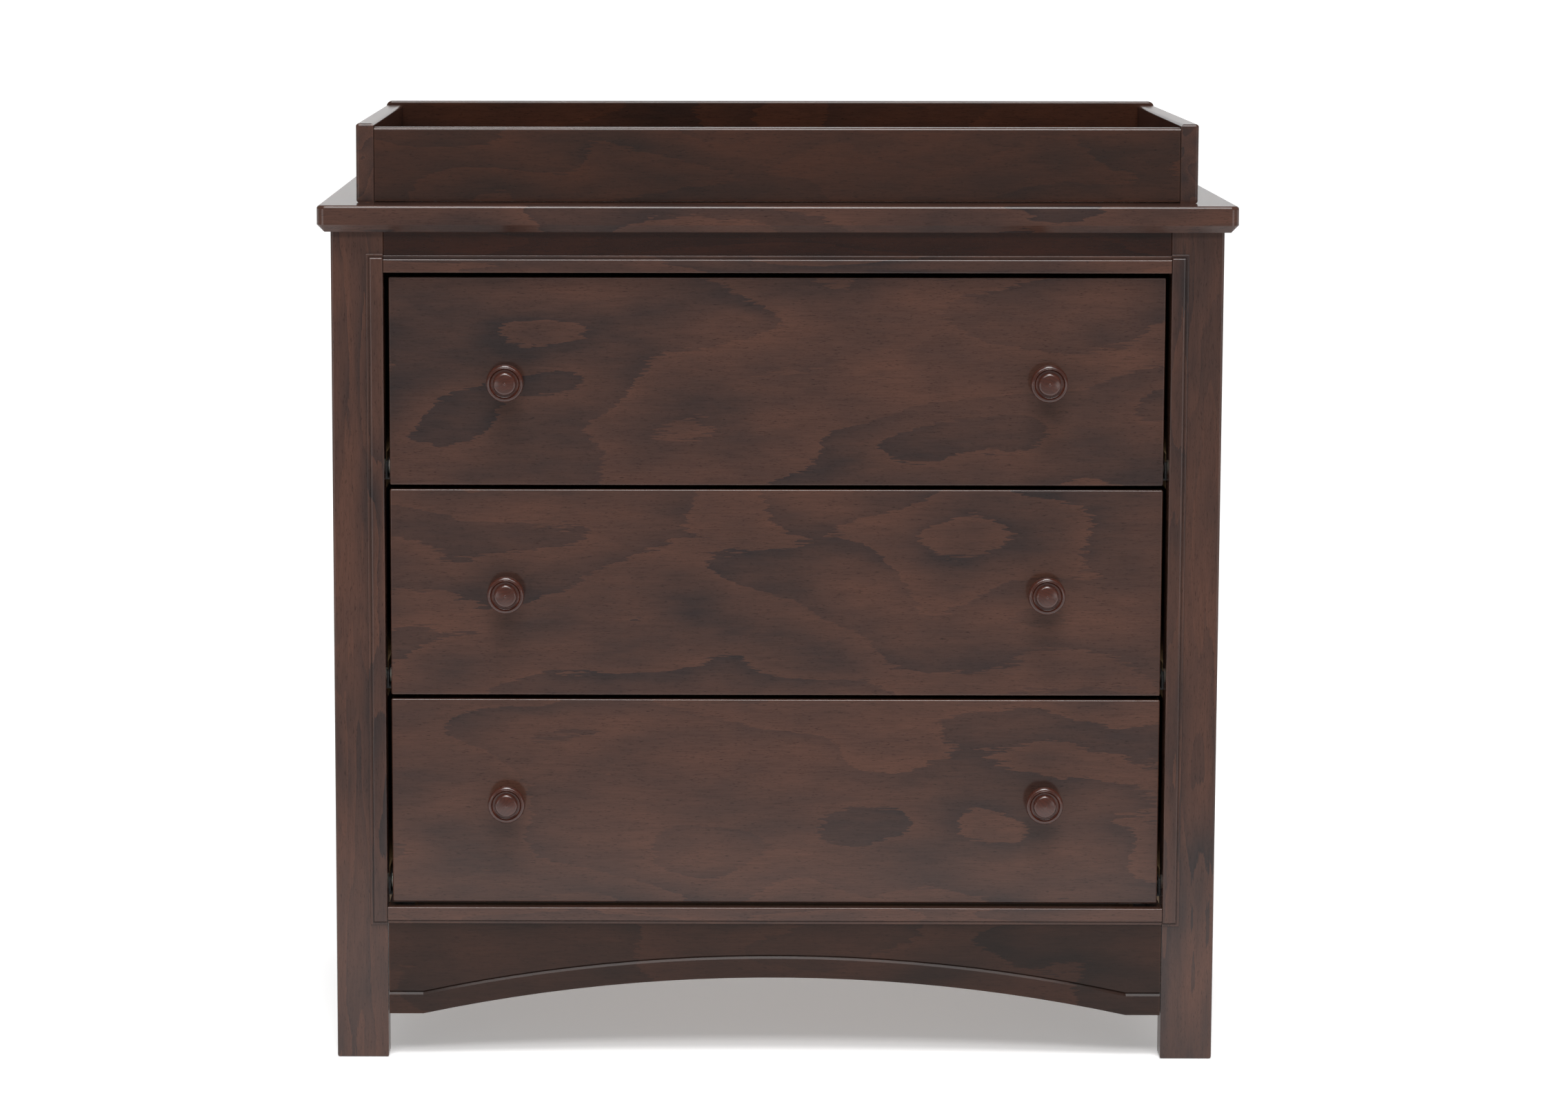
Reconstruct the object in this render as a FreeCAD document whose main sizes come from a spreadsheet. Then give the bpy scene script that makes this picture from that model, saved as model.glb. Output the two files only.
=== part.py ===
import FreeCAD, Part
import math
import os

import Sketcher
from FreeCAD import Placement, Rotation, Vector

# Changing table: a three-drawer dresser with a lift-off changing tray on its top.
# Millimetres. The origin is on the floor under the middle of the object, +Z is up, the drawers open
# towards -Y, and +X is to the right of a person who stands in front of it.
#
# Depths called "back" are measured from the front faces of the posts towards the wall.

DOC = FreeCAD.newDocument("changing_table")
TOLERANCE = 1e-4
SIDES = {"left": -1, "right": 1}
DRAWERS = {"bottom": 0, "middle": 1, "top": 2}
POST_SCREWS = 5
RAIL_SCREWS = 4

# How far the wood screws go into the wood behind the back panel and behind the tray's brackets.
PANEL_BITE = "(screw_long - panel_thick)"
LOWER_BITE = "(screw_long - plate_thick - plate_play)"

SIZES = {
    # carcass
    "front_face": (-230.0, "Y of the front faces of the posts"),
    "body_width": (902.0, "over the outer faces of the posts"),
    "body_back": (472.0, "back of the rear posts"),
    "post_width": (53.0, "post, side to side"),
    "post_depth": (29.0, "post, front to back"),
    "post_height": (854.5, "floor to the underside of the top"),
    "post_round": (2.5, "eased edges and feet of the posts"),
    "rail_thick": (18.0, "rails and apron, front to back"),
    "rail_gap": (0.2, "joint between the top rail and a post"),
    "rail_ease": (0.6, "eased ends of the top rail"),
    "opening_top": (813.0, "top of the drawer opening"),
    "opening_low": (159.2, "bottom of the drawer opening"),
    "side_thick": (16.0, "side panel"),
    "side_inset": (6.0, "side panel behind the outer face of the posts"),
    "cleat_tall": (36.0, "wooden strip that carries a runner"),
    "cleat_drop": (6.0, "strip below the bottom of its drawer front"),
    "rear_rail_tall": (40.0, "rear rails"),
    "rear_rail_low": (50.0, "bottom of the lower rear rail"),
    "tie_hole": (1.5, "radius of the tip restraint's pilot holes"),
    "tie_hole_deep": (14.0, "depth of those holes"),
    "tie_hole_span": (640.0, "distance between those holes"),
    "tie_hole_up": (844.5, "height of those holes"),
    "panel_thick": (3.0, "hardboard back panel"),
    "panel_width": (888.0, "back panel"),
    "panel_low": (52.0, "bottom of the back panel"),
    "panel_top": (834.0, "top of the back panel"),
    # dresser top
    "slab_width": (928.0, "dresser top"),
    "slab_depth": (494.5, "dresser top"),
    "slab_thick": (27.0, "dresser top"),
    "slab_overhang": (15.0, "dresser top in front of the posts"),
    "slab_corner": (8.5, "rounded front corners"),
    "slab_chamfer": (7.5, "chamfer under the front and side edges"),
    "slab_round": (3.5, "rounding over the front and side edges"),
    # raised moulding round the drawer opening
    "trim_width": (17.5, "moulding across its profile"),
    "trim_proud": (4.5, "flat band in front of the posts"),
    "bead_proud": (2.0, "outer bead in front of the posts"),
    "bead_width": (2.6, "outer bead"),
    "bead_round": (0.9, "rounding of the outer bead"),
    "quirk_width": (0.8, "narrow groove between bead and band"),
    "quirk_proud": (1.2, "floor of that groove in front of the posts"),
    "band_round": (2.2, "rounding of the band beside the groove"),
    "trim_ease": (1.2, "rounding of the band beside the opening"),
    "trim_gap": (0.5, "joint between a rail moulding and a post moulding"),
    "post_trim_top": (832.0, "upper end of the post mouldings"),
    "post_trim_low": (140.0, "lower end of the post mouldings"),
    # apron
    "apron_low": (46.3, "level ends of the apron's lower edge"),
    "apron_gap": (0.8, "joint between the apron and a post"),
    "arch_half": (362.0, "middle to the kink where the arch starts"),
    "arch_rise": (38.7, "arch above the level ends"),
    "groove_low": (19.9, "lower lip of the routed groove above the edge"),
    "groove_top": (24.2, "upper lip of the routed groove above the edge"),
    "groove_floor": (23.2, "lower side of the groove's floor above the edge"),
    "groove_deep": (2.2, "depth of the routed groove"),
    # drawers
    "front_width": (786.0, "drawer front"),
    "front_tall": (212.0, "drawer front"),
    "front_thick": (18.0, "drawer front"),
    "front_set": (4.0, "drawer front behind the posts"),
    "front_ease": (1.5, "eased edges of the drawer front"),
    "front_low": (163.0, "bottom of the lowest drawer front"),
    "front_step": (216.5, "from one drawer to the next"),
    "box_width": (770.6, "drawer box, outside"),
    "box_tall": (160.0, "drawer box"),
    "box_long": (400.0, "drawer sides"),
    "box_thick": (12.0, "drawer sides and back"),
    "box_lift": (6.0, "drawer box above the bottom of its front"),
    "box_ease": (1.5, "eased upper edges of the drawer box"),
    "floor_thick": (4.0, "drawer bottom panel"),
    "floor_lift": (10.0, "drawer bottom panel above the lower edge of the box"),
    "floor_inlet": (5.0, "depth of the grooves that hold the panel"),
    "floor_play": (0.1, "play of the panel in its grooves"),
    # knobs
    "knob_span": (549.6, "distance between the two knobs of a drawer"),
    "knob_out": (28.0, "knob in front of the drawer front"),
    "pip_radius": (1.4, "small raised centre of the knob"),
    "pip_fall": (0.35, "from the nose to the edge of the centre"),
    "pip_curve": (3.0, "its curve"),
    "dome_radius": (8.6, "low dome, inside its shoulder"),
    "dome_fall": (1.4, "from the nose to the edge of the dome"),
    "dome_curve": (60.0, "curve of the dome"),
    "shoulder_radius": (11.7, "side of the dome"),
    "shoulder_fall": (4.1, "from the nose to the foot of the shoulder"),
    "shoulder_curve": (3.4, "rounding between the dome and its side"),
    "cove_radius": (12.2, "inner edge of the cove round the dome"),
    "cove_fall": (6.0, "from the nose to the bottom of the cove"),
    "cove_curve": (2.6, "hollow of the cove"),
    "lip_inner": (15.4, "outer edge of the cove"),
    "lip_outer": (16.1, "step down to the rim"),
    "lip_fall": (4.2, "from the nose to the lip's inner edge"),
    "lip_step": (4.7, "from the nose to the lip's outer edge"),
    "lip_curve": (0.5, "rounding of the lip"),
    "rim_step": (5.2, "from the nose to the front of the rim"),
    "rim_radius": (18.9, "rim of the knob"),
    "rim_fall": (8.6, "from the nose to the widest line of the rim"),
    "rim_curve": (3.2, "front rounding of the rim"),
    "back_radius": (18.2, "back edge of the rim"),
    "back_fall": (11.6, "from the nose to the back edge of the rim"),
    "back_curve": (2.6, "back rounding of the rim"),
    "cup_curve": (20.0, "hollow behind the rim"),
    "waist_top": (8.2, "front end of the waist, from the drawer front"),
    "waist_low": (3.2, "rear end of the waist, from the drawer front"),
    "waist_curve": (3.8, "hollow of the waist"),
    "waist_radius": (7.4, "ends of the waist"),
    "foot_radius": (9.5, "foot of the knob"),
    "foot_tall": (1.8, "foot of the knob"),
    "knob_tap": (10.0, "depth of the screw in the knob"),
    "knob_screw": (2.0, "radius of the knob's screw"),
    "knob_head": (4.0, "radius of its head"),
    "knob_head_tall": (2.4, "height of its head"),
    # roller slides
    "steel": (1.2, "sheet steel of the slides"),
    "slide_long": (400.0, "both members of a slide"),
    "slide_front": (24.0, "front end of the cabinet member, back"),
    "channel_low": (3.0, "cabinet channel above the bottom of the drawer front"),
    "channel_tall": (18.4, "cabinet channel"),
    "channel_wide": (10.0, "cabinet channel, side to side"),
    "channel_notch": (30.0, "length without an upper flange, at the front roller"),
    "hook_low": (5.0, "drawer member above the bottom of the drawer front"),
    "hook_tall": (19.0, "drawer member"),
    "hook_flange": (8.0, "outer flange of the drawer member"),
    "wheel_radius": (7.8, "rollers"),
    "wheel_wide": (5.6, "rollers"),
    "wheel_bore": (2.05, "bore of the rollers"),
    "pin_radius": (2.0, "roller pins"),
    "pin_cap": (3.4, "heads of the roller pins"),
    "wheel_play": (0.3, "roller to the track that it runs on"),
    "front_wheel": (14.0, "front roller's axis behind the front end of the channel"),
    "rear_wheel": (12.0, "rear roller's axis before the rear end of the drawer member"),
    # wood screws of the back panel and the brackets
    "screw_radius": (2.0, "shank"),
    "screw_long": (16.0, "length under the head"),
    "screw_head": (3.6, "radius of the head"),
    "screw_head_tall": (2.2, "height of the head"),
    # changing tray
    "tray_width": (854.0, "over the side boards"),
    "tray_back": (479.5, "rear face of the tray and of the dresser top"),
    "tray_depth": (448.5, "tray, front to back"),
    "tray_thick": (18.0, "tray boards"),
    "tray_side_tall": (80.0, "side boards"),
    "tray_front_tall": (74.5, "front board"),
    "tray_front_lift": (1.5, "front board above the dresser top"),
    "tray_rear_tall": (84.0, "rear board"),
    "tray_round": (3.0, "rounded edges of the tray"),
    "tray_corner": (6.0, "rounded upper corners of the rear board"),
    "tray_gap": (0.6, "joint between the front board and a side board"),
    "tray_set": (0.6, "front board behind the ends of the side boards"),
    # brackets that hold the tray
    "plate_thick": (2.0, "bracket"),
    "plate_wide": (32.0, "bracket"),
    "plate_low": (858.0, "lower end of the bracket"),
    "plate_tall": (66.0, "bracket"),
    "plate_span": (600.0, "distance between the two brackets"),
    "plate_round": (4.0, "rounded corners of the bracket"),
    "slot_wide": (4.6, "slot over the lower screw"),
    "slot_up": (868.0, "height of the lower screws"),
    "plate_play": (0.3, "lower screw heads to the bracket"),
    "plate_screw_low": (898.0, "height of the lower of the bracket's own two screws"),
    "plate_screw_step": (16.0, "from that screw to the upper one"),
}

SHEET = DOC.addObject("Spreadsheet::Sheet", "Sizes")
for row, (alias, (size, note)) in enumerate(SIZES.items(), start=1):
    SHEET.set(f"A{row}", alias)
    SHEET.set(f"B{row}", str(size))
    SHEET.set(f"C{row}", note)
    SHEET.setAlias(f"B{row}", alias)
DOC.recompute()

PARTS = []


# ---------------------------------------------------------------- helpers

def bound(text):
    """Turn an expression on plain aliases into one on the sheet's cells."""
    words = []
    word = ""
    for letter in text + " ":
        if letter.isalnum() or letter == "_":
            word += letter
            continue
        words.append(f"Sizes.{word}" if word in SIZES else word)
        words.append(letter)
        word = ""
    return "".join(words).strip()


def number(text):
    """The value of an expression on the sheet's aliases, in millimetres."""
    result = SHEET.evalExpression(bound(text))
    return float(getattr(result, "Value", result))


def drawer_low(level):
    """Expression for the bottom of the drawer front at a level, 0 being the lowest."""
    return f"(front_low + {level} * front_step)"


def place(thing, x="0", back="0", z="0"):
    """Bind a sub-part's Placement: x, its distance back from the posts' front faces, and z."""
    thing.setExpression("Placement.Base.x", bound(x))
    thing.setExpression("Placement.Base.y", bound(f"front_face + ({back})"))
    thing.setExpression("Placement.Base.z", bound(z))


def finished(thing, name):
    """Name a sub-part and put it on the list of files to write."""
    thing.Label = name
    PARTS.append(thing)
    return thing


def body_plane(body, role):
    """One of the origin planes of a body."""
    return next(item for item in body.Origin.OriginFeatures if item.Role == role)


def new_sketch(body, name, role, offset="0"):
    """A sketch on an origin plane of its body, moved along the plane's normal."""
    sketch = body.newObject("Sketcher::SketchObject", name)
    sketch.AttachmentSupport = (body_plane(body, role), [""])
    sketch.MapMode = "FlatFace"
    sketch.setExpression("AttachmentOffset.Base.z", bound(offset))
    return sketch


def arc_middle(start, end, radius, side):
    """A point half-way along an arc that bulges to the left (1) or right (-1) of its chord."""
    chord = end - start
    middle = (start + end) * 0.5
    rise = radius - math.sqrt(max(radius ** 2 - (chord.Length / 2) ** 2, 0.0))
    normal = Vector(-chord.y, chord.x, 0).normalize()
    return middle + normal * (rise * side)


def outline(sketch, corners):
    """Draw a closed outline and pin every corner to its expressions.

    A corner is (x, y), reached by a straight line from the corner before it, or (x, y, radius, side),
    reached by an arc of that radius which bulges left (1) or right (-1) of the way there.
    """
    points = [Vector(number(corner[0]), number(corner[1]), 0) for corner in corners]
    for index, corner in enumerate(corners):
        start = points[index - 1]
        end = points[index]
        if len(corner) == 2:
            sketch.addGeometry(Part.LineSegment(start, end), False)
            continue
        middle = arc_middle(start, end, number(corner[2]), corner[3])
        sketch.addGeometry(Part.Arc(start, middle, end), False)
    count = len(corners)
    for index, corner in enumerate(corners):
        end_point = _end_of(sketch, index, points[index])
        next_start = _end_of(sketch, (index + 1) % count, points[index])
        sketch.addConstraint(Sketcher.Constraint("Coincident", index, end_point,
                                                 (index + 1) % count, next_start))
        for kind, text in (("DistanceX", corner[0]), ("DistanceY", corner[1])):
            pin = sketch.addConstraint(Sketcher.Constraint(kind, -1, 1, index, end_point, number(text)))
            sketch.setExpression(f"Constraints[{pin}]", bound(text))
        if len(corner) == 4:
            pin = sketch.addConstraint(Sketcher.Constraint("Radius", index, number(corner[2])))
            sketch.setExpression(f"Constraints[{pin}]", bound(corner[2]))


def _end_of(sketch, index, point):
    """Which end of a sketch edge lies on a point: 1 its start, 2 its end."""
    start = sketch.getPoint(index, 1)
    return 1 if (start - point).Length < TOLERANCE * 10 else 2


def rectangle(sketch, low_x, low_y, high_x, high_y):
    """A rectangle pinned to the expressions of its sides."""
    outline(sketch, [(low_x, low_y), (high_x, low_y), (high_x, high_y), (low_x, high_y)])


def pad(body, sketch, length, away=False, both=False):
    """Pad a sketch; away turns it against the plane's normal, both pads it to both sides."""
    feature = body.newObject("PartDesign::Pad", f"{body.Name}_pad")
    feature.Profile = sketch
    feature.setExpression("Length", bound(length))
    feature.Reversed = away
    feature.Midplane = both
    DOC.recompute()
    return feature


def edges_on(feature, *places):
    """Names of the edges that lie wholly at one of the places, such as {"x": 4, "z": 0}."""
    names = []
    for index, edge in enumerate(feature.Shape.Edges, start=1):
        points = edge.discretize(3)
        for spot in places:
            if all(abs(getattr(point, axis) - level) < TOLERANCE * 10
                   for point in points for axis, level in spot.items()):
                names.append(f"Edge{index}")
                break
    return names


def dress(kind, body, feature, size_name, size, *places):
    """Fillet or chamfer the edges of a feature that lie at the given places."""
    result = body.newObject(f"PartDesign::{kind}", f"{body.Name}_{kind.lower()}")
    names = edges_on(feature, *places)
    if not names:
        raise RuntimeError(f"{body.Label}: no edge to {kind.lower()}")
    result.Base = (feature, names)
    result.setExpression(size_name, bound(size))
    DOC.recompute()
    return result


def fillet(body, feature, radius, *places):
    """Round edges of a feature."""
    return dress("Fillet", body, feature, "Radius", radius, *places)


def chamfer(body, feature, size, *places):
    """Chamfer edges of a feature."""
    return dress("Chamfer", body, feature, "Size", size, *places)


def cut_box(body, low, size):
    """Take a box out of a body; low is its lowest corner and size its sides, as expressions."""
    before = body.Shape.Volume
    cutter = body.newObject("PartDesign::SubtractiveBox", f"{body.Name}_groove")
    for field, text in zip(("Length", "Width", "Height"), size):
        cutter.setExpression(field, bound(text))
    for axis, text in zip("xyz", low):
        cutter.setExpression(f"Placement.Base.{axis}", bound(text))
    DOC.recompute()
    if not cutter.Shape.Volume < before - TOLERANCE:
        raise RuntimeError(f"{body.Label}: a groove cut nothing")
    return cutter


def drill(body, x, y, z, radius, deep):
    """Drill a hole that starts at a point and runs towards +Y."""
    before = body.Shape.Volume
    cutter = body.newObject("PartDesign::SubtractiveCylinder", f"{body.Name}_hole")
    cutter.setExpression("Radius", bound(radius))
    cutter.setExpression("Height", bound(deep))
    cutter.Placement = Placement(Vector(number(x), number(y), number(z)), Rotation(Vector(1, 0, 0), -90))
    for axis, text in zip("xyz", (x, y, z)):
        cutter.setExpression(f"Placement.Base.{axis}", bound(text))
    DOC.recompute()
    if not cutter.Shape.Volume < before - TOLERANCE:
        raise RuntimeError(f"{body.Label}: a hole cut nothing")
    return cutter


def board(name, width, depth, height):
    """A board: local X across its middle, Y from its front face, Z from its lower edge."""
    body = DOC.addObject("PartDesign::Body", name)
    finished(body, name)
    sketch = new_sketch(body, f"{name}_plan", "XY_Plane")
    rectangle(sketch, f"-({width}) / 2", "0", f"({width}) / 2", depth)
    return body, pad(body, sketch, height)


def solid(kind, name, sizes, spot=("0", "0", "0"), turn=None):
    """A Part primitive with its sizes and its place bound to the sheet."""
    item = DOC.addObject(f"Part::{kind}", name)
    for field, text in sizes.items():
        item.setExpression(field, bound(text))
    if turn is not None:
        item.Placement = Placement(Vector(0, 0, 0), turn)
    for axis, text in zip("xyz", spot):
        item.setExpression(f"Placement.Base.{axis}", bound(text))
    return item


def block(name, low, size):
    """A Part box from its lowest corner and its sides."""
    return solid("Box", name, dict(zip(("Length", "Width", "Height"), size)), low)


def rod_x(name, low, radius, length):
    """A Part cylinder along +X that starts at a point."""
    return solid("Cylinder", name, {"Radius": radius, "Height": length}, low,
                 Rotation(Vector(0, 1, 0), 90))


def fused(name, items):
    """Several Part objects made one solid."""
    joined = DOC.addObject("Part::MultiFuse", name)
    joined.Shapes = items
    joined.Refine = True
    return joined


def cut(name, base, tool):
    """One Part object less another."""
    result = DOC.addObject("Part::Cut", name)
    result.Base = base
    result.Tool = tool
    return result


def pair(name, right):
    """A right-hand piece and its mirror image, as two separate solids in one node."""
    left = DOC.addObject("Part::Mirroring", f"{name}_mirror")
    left.Source = right
    left.Normal = Vector(1, 0, 0)
    both = DOC.addObject("Part::Compound", name)
    both.Links = [right, left]
    return finished(both, name)


def screws(name, seats):
    """Wood screws with pan heads on the faces that they are driven through from behind.

    Each seat is the point under a head, in the row frame; the shank runs towards -Y.
    """
    shank = number("screw_radius")
    head = number("screw_head")
    tall = number("screw_head_tall")
    items = []
    for seat in seats:
        stem = Part.makeCylinder(shank, number("screw_long"), seat, Vector(0, -1, 0))
        cap = Part.makeCylinder(head, tall, seat, Vector(0, 1, 0))
        rim = [edge for edge in cap.Edges
               if abs(edge.CenterOfMass.y - seat.y - tall) < TOLERANCE]
        items.append(cap.makeFillet(tall * 0.55, rim).fuse(stem).removeSplitter())
    group = DOC.addObject("Part::Feature", name)
    group.Shape = Part.makeCompound(items)
    return finished(group, name)


# ---------------------------------------------------------------- carcass

def make_top():
    """The dresser top: rounded front corners, chamfered below, rounded above."""
    body, slab = board("dresser_top", "slab_width", "slab_depth", "slab_thick")
    half = number("slab_width / 2")
    thick = number("slab_thick")
    deep = number("slab_depth")
    corners = fillet(body, slab, "slab_corner", {"x": -half, "y": 0}, {"x": half, "y": 0})

    def rim(feature, level):
        """Edges of the top's outline at a height, the rear edge left out."""
        names = set(edges_on(feature, {"z": level})) - set(edges_on(feature, {"y": deep}))
        return sorted(names)

    under = body.newObject("PartDesign::Chamfer", "dresser_top_chamfer")
    under.Base = (corners, rim(corners, 0))
    under.setExpression("Size", bound("slab_chamfer"))
    DOC.recompute()
    over = body.newObject("PartDesign::Fillet", "dresser_top_round")
    over.Base = (under, rim(under, thick))
    over.setExpression("Radius", bound("slab_round"))
    DOC.recompute()
    for side in SIDES.values():
        drill(body, f"{side} * plate_span / 2", f"slab_depth - {LOWER_BITE}", "slot_up - post_height",
              "screw_radius", "screw_long")
    place(body, back="-slab_overhang", z="post_height")


def make_posts():
    """Four full-height posts, square, with eased edges and feet."""
    half = number("post_width / 2")
    deep = number("post_depth")
    for row, back in (("front", "0"), ("rear", "body_back - post_depth")):
        for side, sign in SIDES.items():
            body, post = board(f"{row}_{side}_post", "post_width", "post_depth", "post_height")
            outer = sign * half
            fillet(body, post, "post_round", {"x": outer, "y": 0}, {"x": outer, "y": deep},
                   {"x": -outer, "y": deep if row == "front" else 0}, {"z": 0})
            if row == "rear":
                for spot in panel_screw_heights():
                    drill(body, "0", f"post_depth - {PANEL_BITE}", spot, "screw_radius", "screw_long")
            place(body, f"{sign} * (body_width - post_width) / 2", back)


def panel_screw_heights():
    """Expressions for the heights of the back panel's screws in a rear post."""
    return [f"panel_low + 20 + (panel_top - panel_low - 40) * {index} / {POST_SCREWS - 1}"
            for index in range(POST_SCREWS)]


def rail_screw_spots():
    """Expressions for the places across the rear rails of the back panel's screws."""
    return [f"(body_width / 2 - post_width - 90) * {2 * index / (RAIL_SCREWS - 1) - 1}"
            for index in range(RAIL_SCREWS)]


def make_rails():
    """Front top rail and the two rear rails between the posts."""
    span = "(body_width - 2 * post_width)"
    body, rail = board("front_top_rail", f"{span} - 2 * rail_gap", "rail_thick",
                       "post_height - opening_top")
    half = number(f"{span} / 2 - rail_gap")
    chamfer(body, rail, "rail_ease", {"x": -half, "y": 0}, {"x": half, "y": 0})
    place(body, z="opening_top")

    levels = {"rear_top_rail": "post_height - rear_rail_tall", "rear_bottom_rail": "rear_rail_low"}
    screw_up = {"rear_top_rail": "panel_top - 10", "rear_bottom_rail": "panel_low + 20"}
    for name, low in levels.items():
        body, _ = board(name, span, "rail_thick", "rear_rail_tall")
        for spot in rail_screw_spots():
            drill(body, spot, f"rail_thick - {PANEL_BITE}", f"{screw_up[name]} - ({low})",
                  "screw_radius", "screw_long")
        if name == "rear_top_rail":
            for side in SIDES.values():
                drill(body, f"{side} * tie_hole_span / 2", "rail_thick - tie_hole_deep",
                      f"tie_hole_up - ({low})", "tie_hole", "tie_hole_deep")
        place(body, back="body_back - rail_thick", z=low)


def make_sides():
    """Side panels, set in between the posts, and the strips that carry the runners."""
    for side, sign in SIDES.items():
        body, _ = board(f"{side}_side_panel", "side_thick", "body_back - 2 * post_depth",
                        "post_height - apron_low")
        place(body, f"{sign} * (body_width / 2 - side_inset - side_thick / 2)", "post_depth", "apron_low")
    strips = []
    thick = "(post_width - side_inset - side_thick)"
    for level in DRAWERS.values():
        for side, sign in SIDES.items():
            low_x = f"{sign} * (body_width / 2 - post_width + {thick} / 2) - {thick} / 2"
            low = (low_x, "post_depth", f"{drawer_low(level)} - cleat_drop")
            size = (thick, "body_back - 2 * post_depth", "cleat_tall")
            strips.append(block(f"cleat_{side}_{level}", low, size))
    group = DOC.addObject("Part::Compound", "runner_cleats")
    group.Links = strips
    finished(group, "runner_cleats")
    place(group)


def make_back():
    """The hardboard back panel with its screw holes."""
    body, _ = board("back_panel", "panel_width", "panel_thick", "panel_top - panel_low")
    middle = "((body_width - post_width) / 2)"
    for spot in panel_screw_heights():
        for sign in SIDES.values():
            drill(body, f"{sign} * {middle}", "0", f"{spot} - panel_low", "screw_radius", "panel_thick")
    for spot in rail_screw_spots():
        for up in ("panel_top - 10", "panel_low + 20"):
            drill(body, spot, "0", f"{up} - panel_low", "screw_radius", "panel_thick")
    place(body, back="body_back", z="panel_low")


def make_rear_screws():
    """Screws of the back panel, and the two under the tray's brackets."""
    panel_y = number("front_face + body_back + panel_thick")
    seats = []
    for spot in panel_screw_heights():
        for sign in SIDES.values():
            seats.append(Vector(sign * number("(body_width - post_width) / 2"), panel_y, number(spot)))
    for spot in rail_screw_spots():
        for up in ("panel_top - 10", "panel_low + 20"):
            seats.append(Vector(number(spot), panel_y, number(up)))
    plate_y = number("front_face + tray_back + plate_thick + plate_play")
    for sign in SIDES.values():
        seats.append(Vector(sign * number("plate_span / 2"), plate_y, number("slot_up")))
    screws("rear_screws", seats)


def trim_profile(sketch):
    """Cross-section of a rail moulding: X is how far back, Y up from the edge at the opening.

    A flat band, a rounding, a narrow groove and an outer bead.
    """
    band_end = "(trim_width - bead_width - quirk_width)"
    outline(sketch, [
        ("0", "0"),
        ("-(trim_proud - trim_ease)", "0"),
        ("-trim_proud", "trim_ease", "trim_ease", 1),
        ("-trim_proud", f"{band_end} - band_round"),
        ("-(trim_proud - band_round)", band_end, "band_round", 1),
        ("-quirk_proud", band_end),
        ("-quirk_proud", f"{band_end} + quirk_width"),
        ("-bead_proud", f"{band_end} + quirk_width"),
        ("-bead_proud", "trim_width - bead_round"),
        ("-(bead_proud - bead_round)", "trim_width", "bead_round", 1),
        ("0", "trim_width"),
    ])


def make_rail_mouldings():
    """The raised mouldings on the top rail and, upside down, on the apron."""
    half_turn = Rotation(Vector(0, 1, 0), 180)
    for name, up, turned in (("top_rail_moulding", "opening_top", False),
                             ("apron_moulding", "opening_low", True)):
        body = DOC.addObject("PartDesign::Body", name)
        finished(body, name)
        sketch = new_sketch(body, f"{name}_profile", "YZ_Plane")
        trim_profile(sketch)
        pad(body, sketch, "body_width - 2 * post_width - 2 * trim_gap", both=True)
        if turned:
            body.Placement = Placement(Vector(0, 0, 0), half_turn)
        place(body, z=up)


def make_post_mouldings():
    """The raised mouldings on the front posts, with the profile returned over both ends."""
    tall = "(post_trim_top - post_trim_low)"
    inset = "(bead_width + quirk_width)"
    for side, sign in SIDES.items():
        name = f"{side}_post_moulding"
        body = DOC.addObject("PartDesign::Body", name)
        finished(body, name)

        def across(text):
            """A distance from the edge at the opening, outwards."""
            return f"{sign} * ({text})"

        low, high = (across("0"), across("trim_width"))[::sign]
        bead_sketch = new_sketch(body, f"{name}_bead_plan", "XZ_Plane")
        rectangle(bead_sketch, low, "0", high, tall)
        bead = pad(body, bead_sketch, "bead_proud")
        outer = sign * number("trim_width")
        face = -number("bead_proud")
        rounded = fillet(body, bead, "bead_round", {"y": face, "x": outer}, {"y": face, "z": 0},
                         {"y": face, "z": number(tall)})

        floor_sketch = new_sketch(body, f"{name}_quirk_plan", "XZ_Plane", "quirk_proud")
        near, far = (across("0"), across("trim_width - bead_width"))[::sign]
        rectangle(floor_sketch, near, "bead_width", far, f"{tall} - bead_width")
        quirk = body.newObject("PartDesign::Pocket", f"{name}_quirk")
        quirk.Profile = floor_sketch
        quirk.setExpression("Length", bound("bead_proud"))
        quirk.Reversed = True
        DOC.recompute()
        if not quirk.Shape.Volume < rounded.Shape.Volume - 1:
            raise RuntimeError(f"{name}: the narrow groove cut nothing")

        band_sketch = new_sketch(body, f"{name}_band_plan", "XZ_Plane")
        near, far = (across("0"), across(f"trim_width - {inset}"))[::sign]
        rectangle(band_sketch, near, inset, far, f"{tall} - {inset}")
        band = pad(body, band_sketch, "trim_proud")
        face = -number("trim_proud")
        outer = sign * number(f"trim_width - {inset}")
        soft = fillet(body, band, "band_round", {"y": face, "x": outer},
                      {"y": face, "z": number(inset)}, {"y": face, "z": number(f"{tall} - {inset}")})
        fillet(body, soft, "trim_ease", {"y": face, "x": 0})
        place(body, f"{sign} * (body_width / 2 - post_width)", "0", "post_trim_low")


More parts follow.
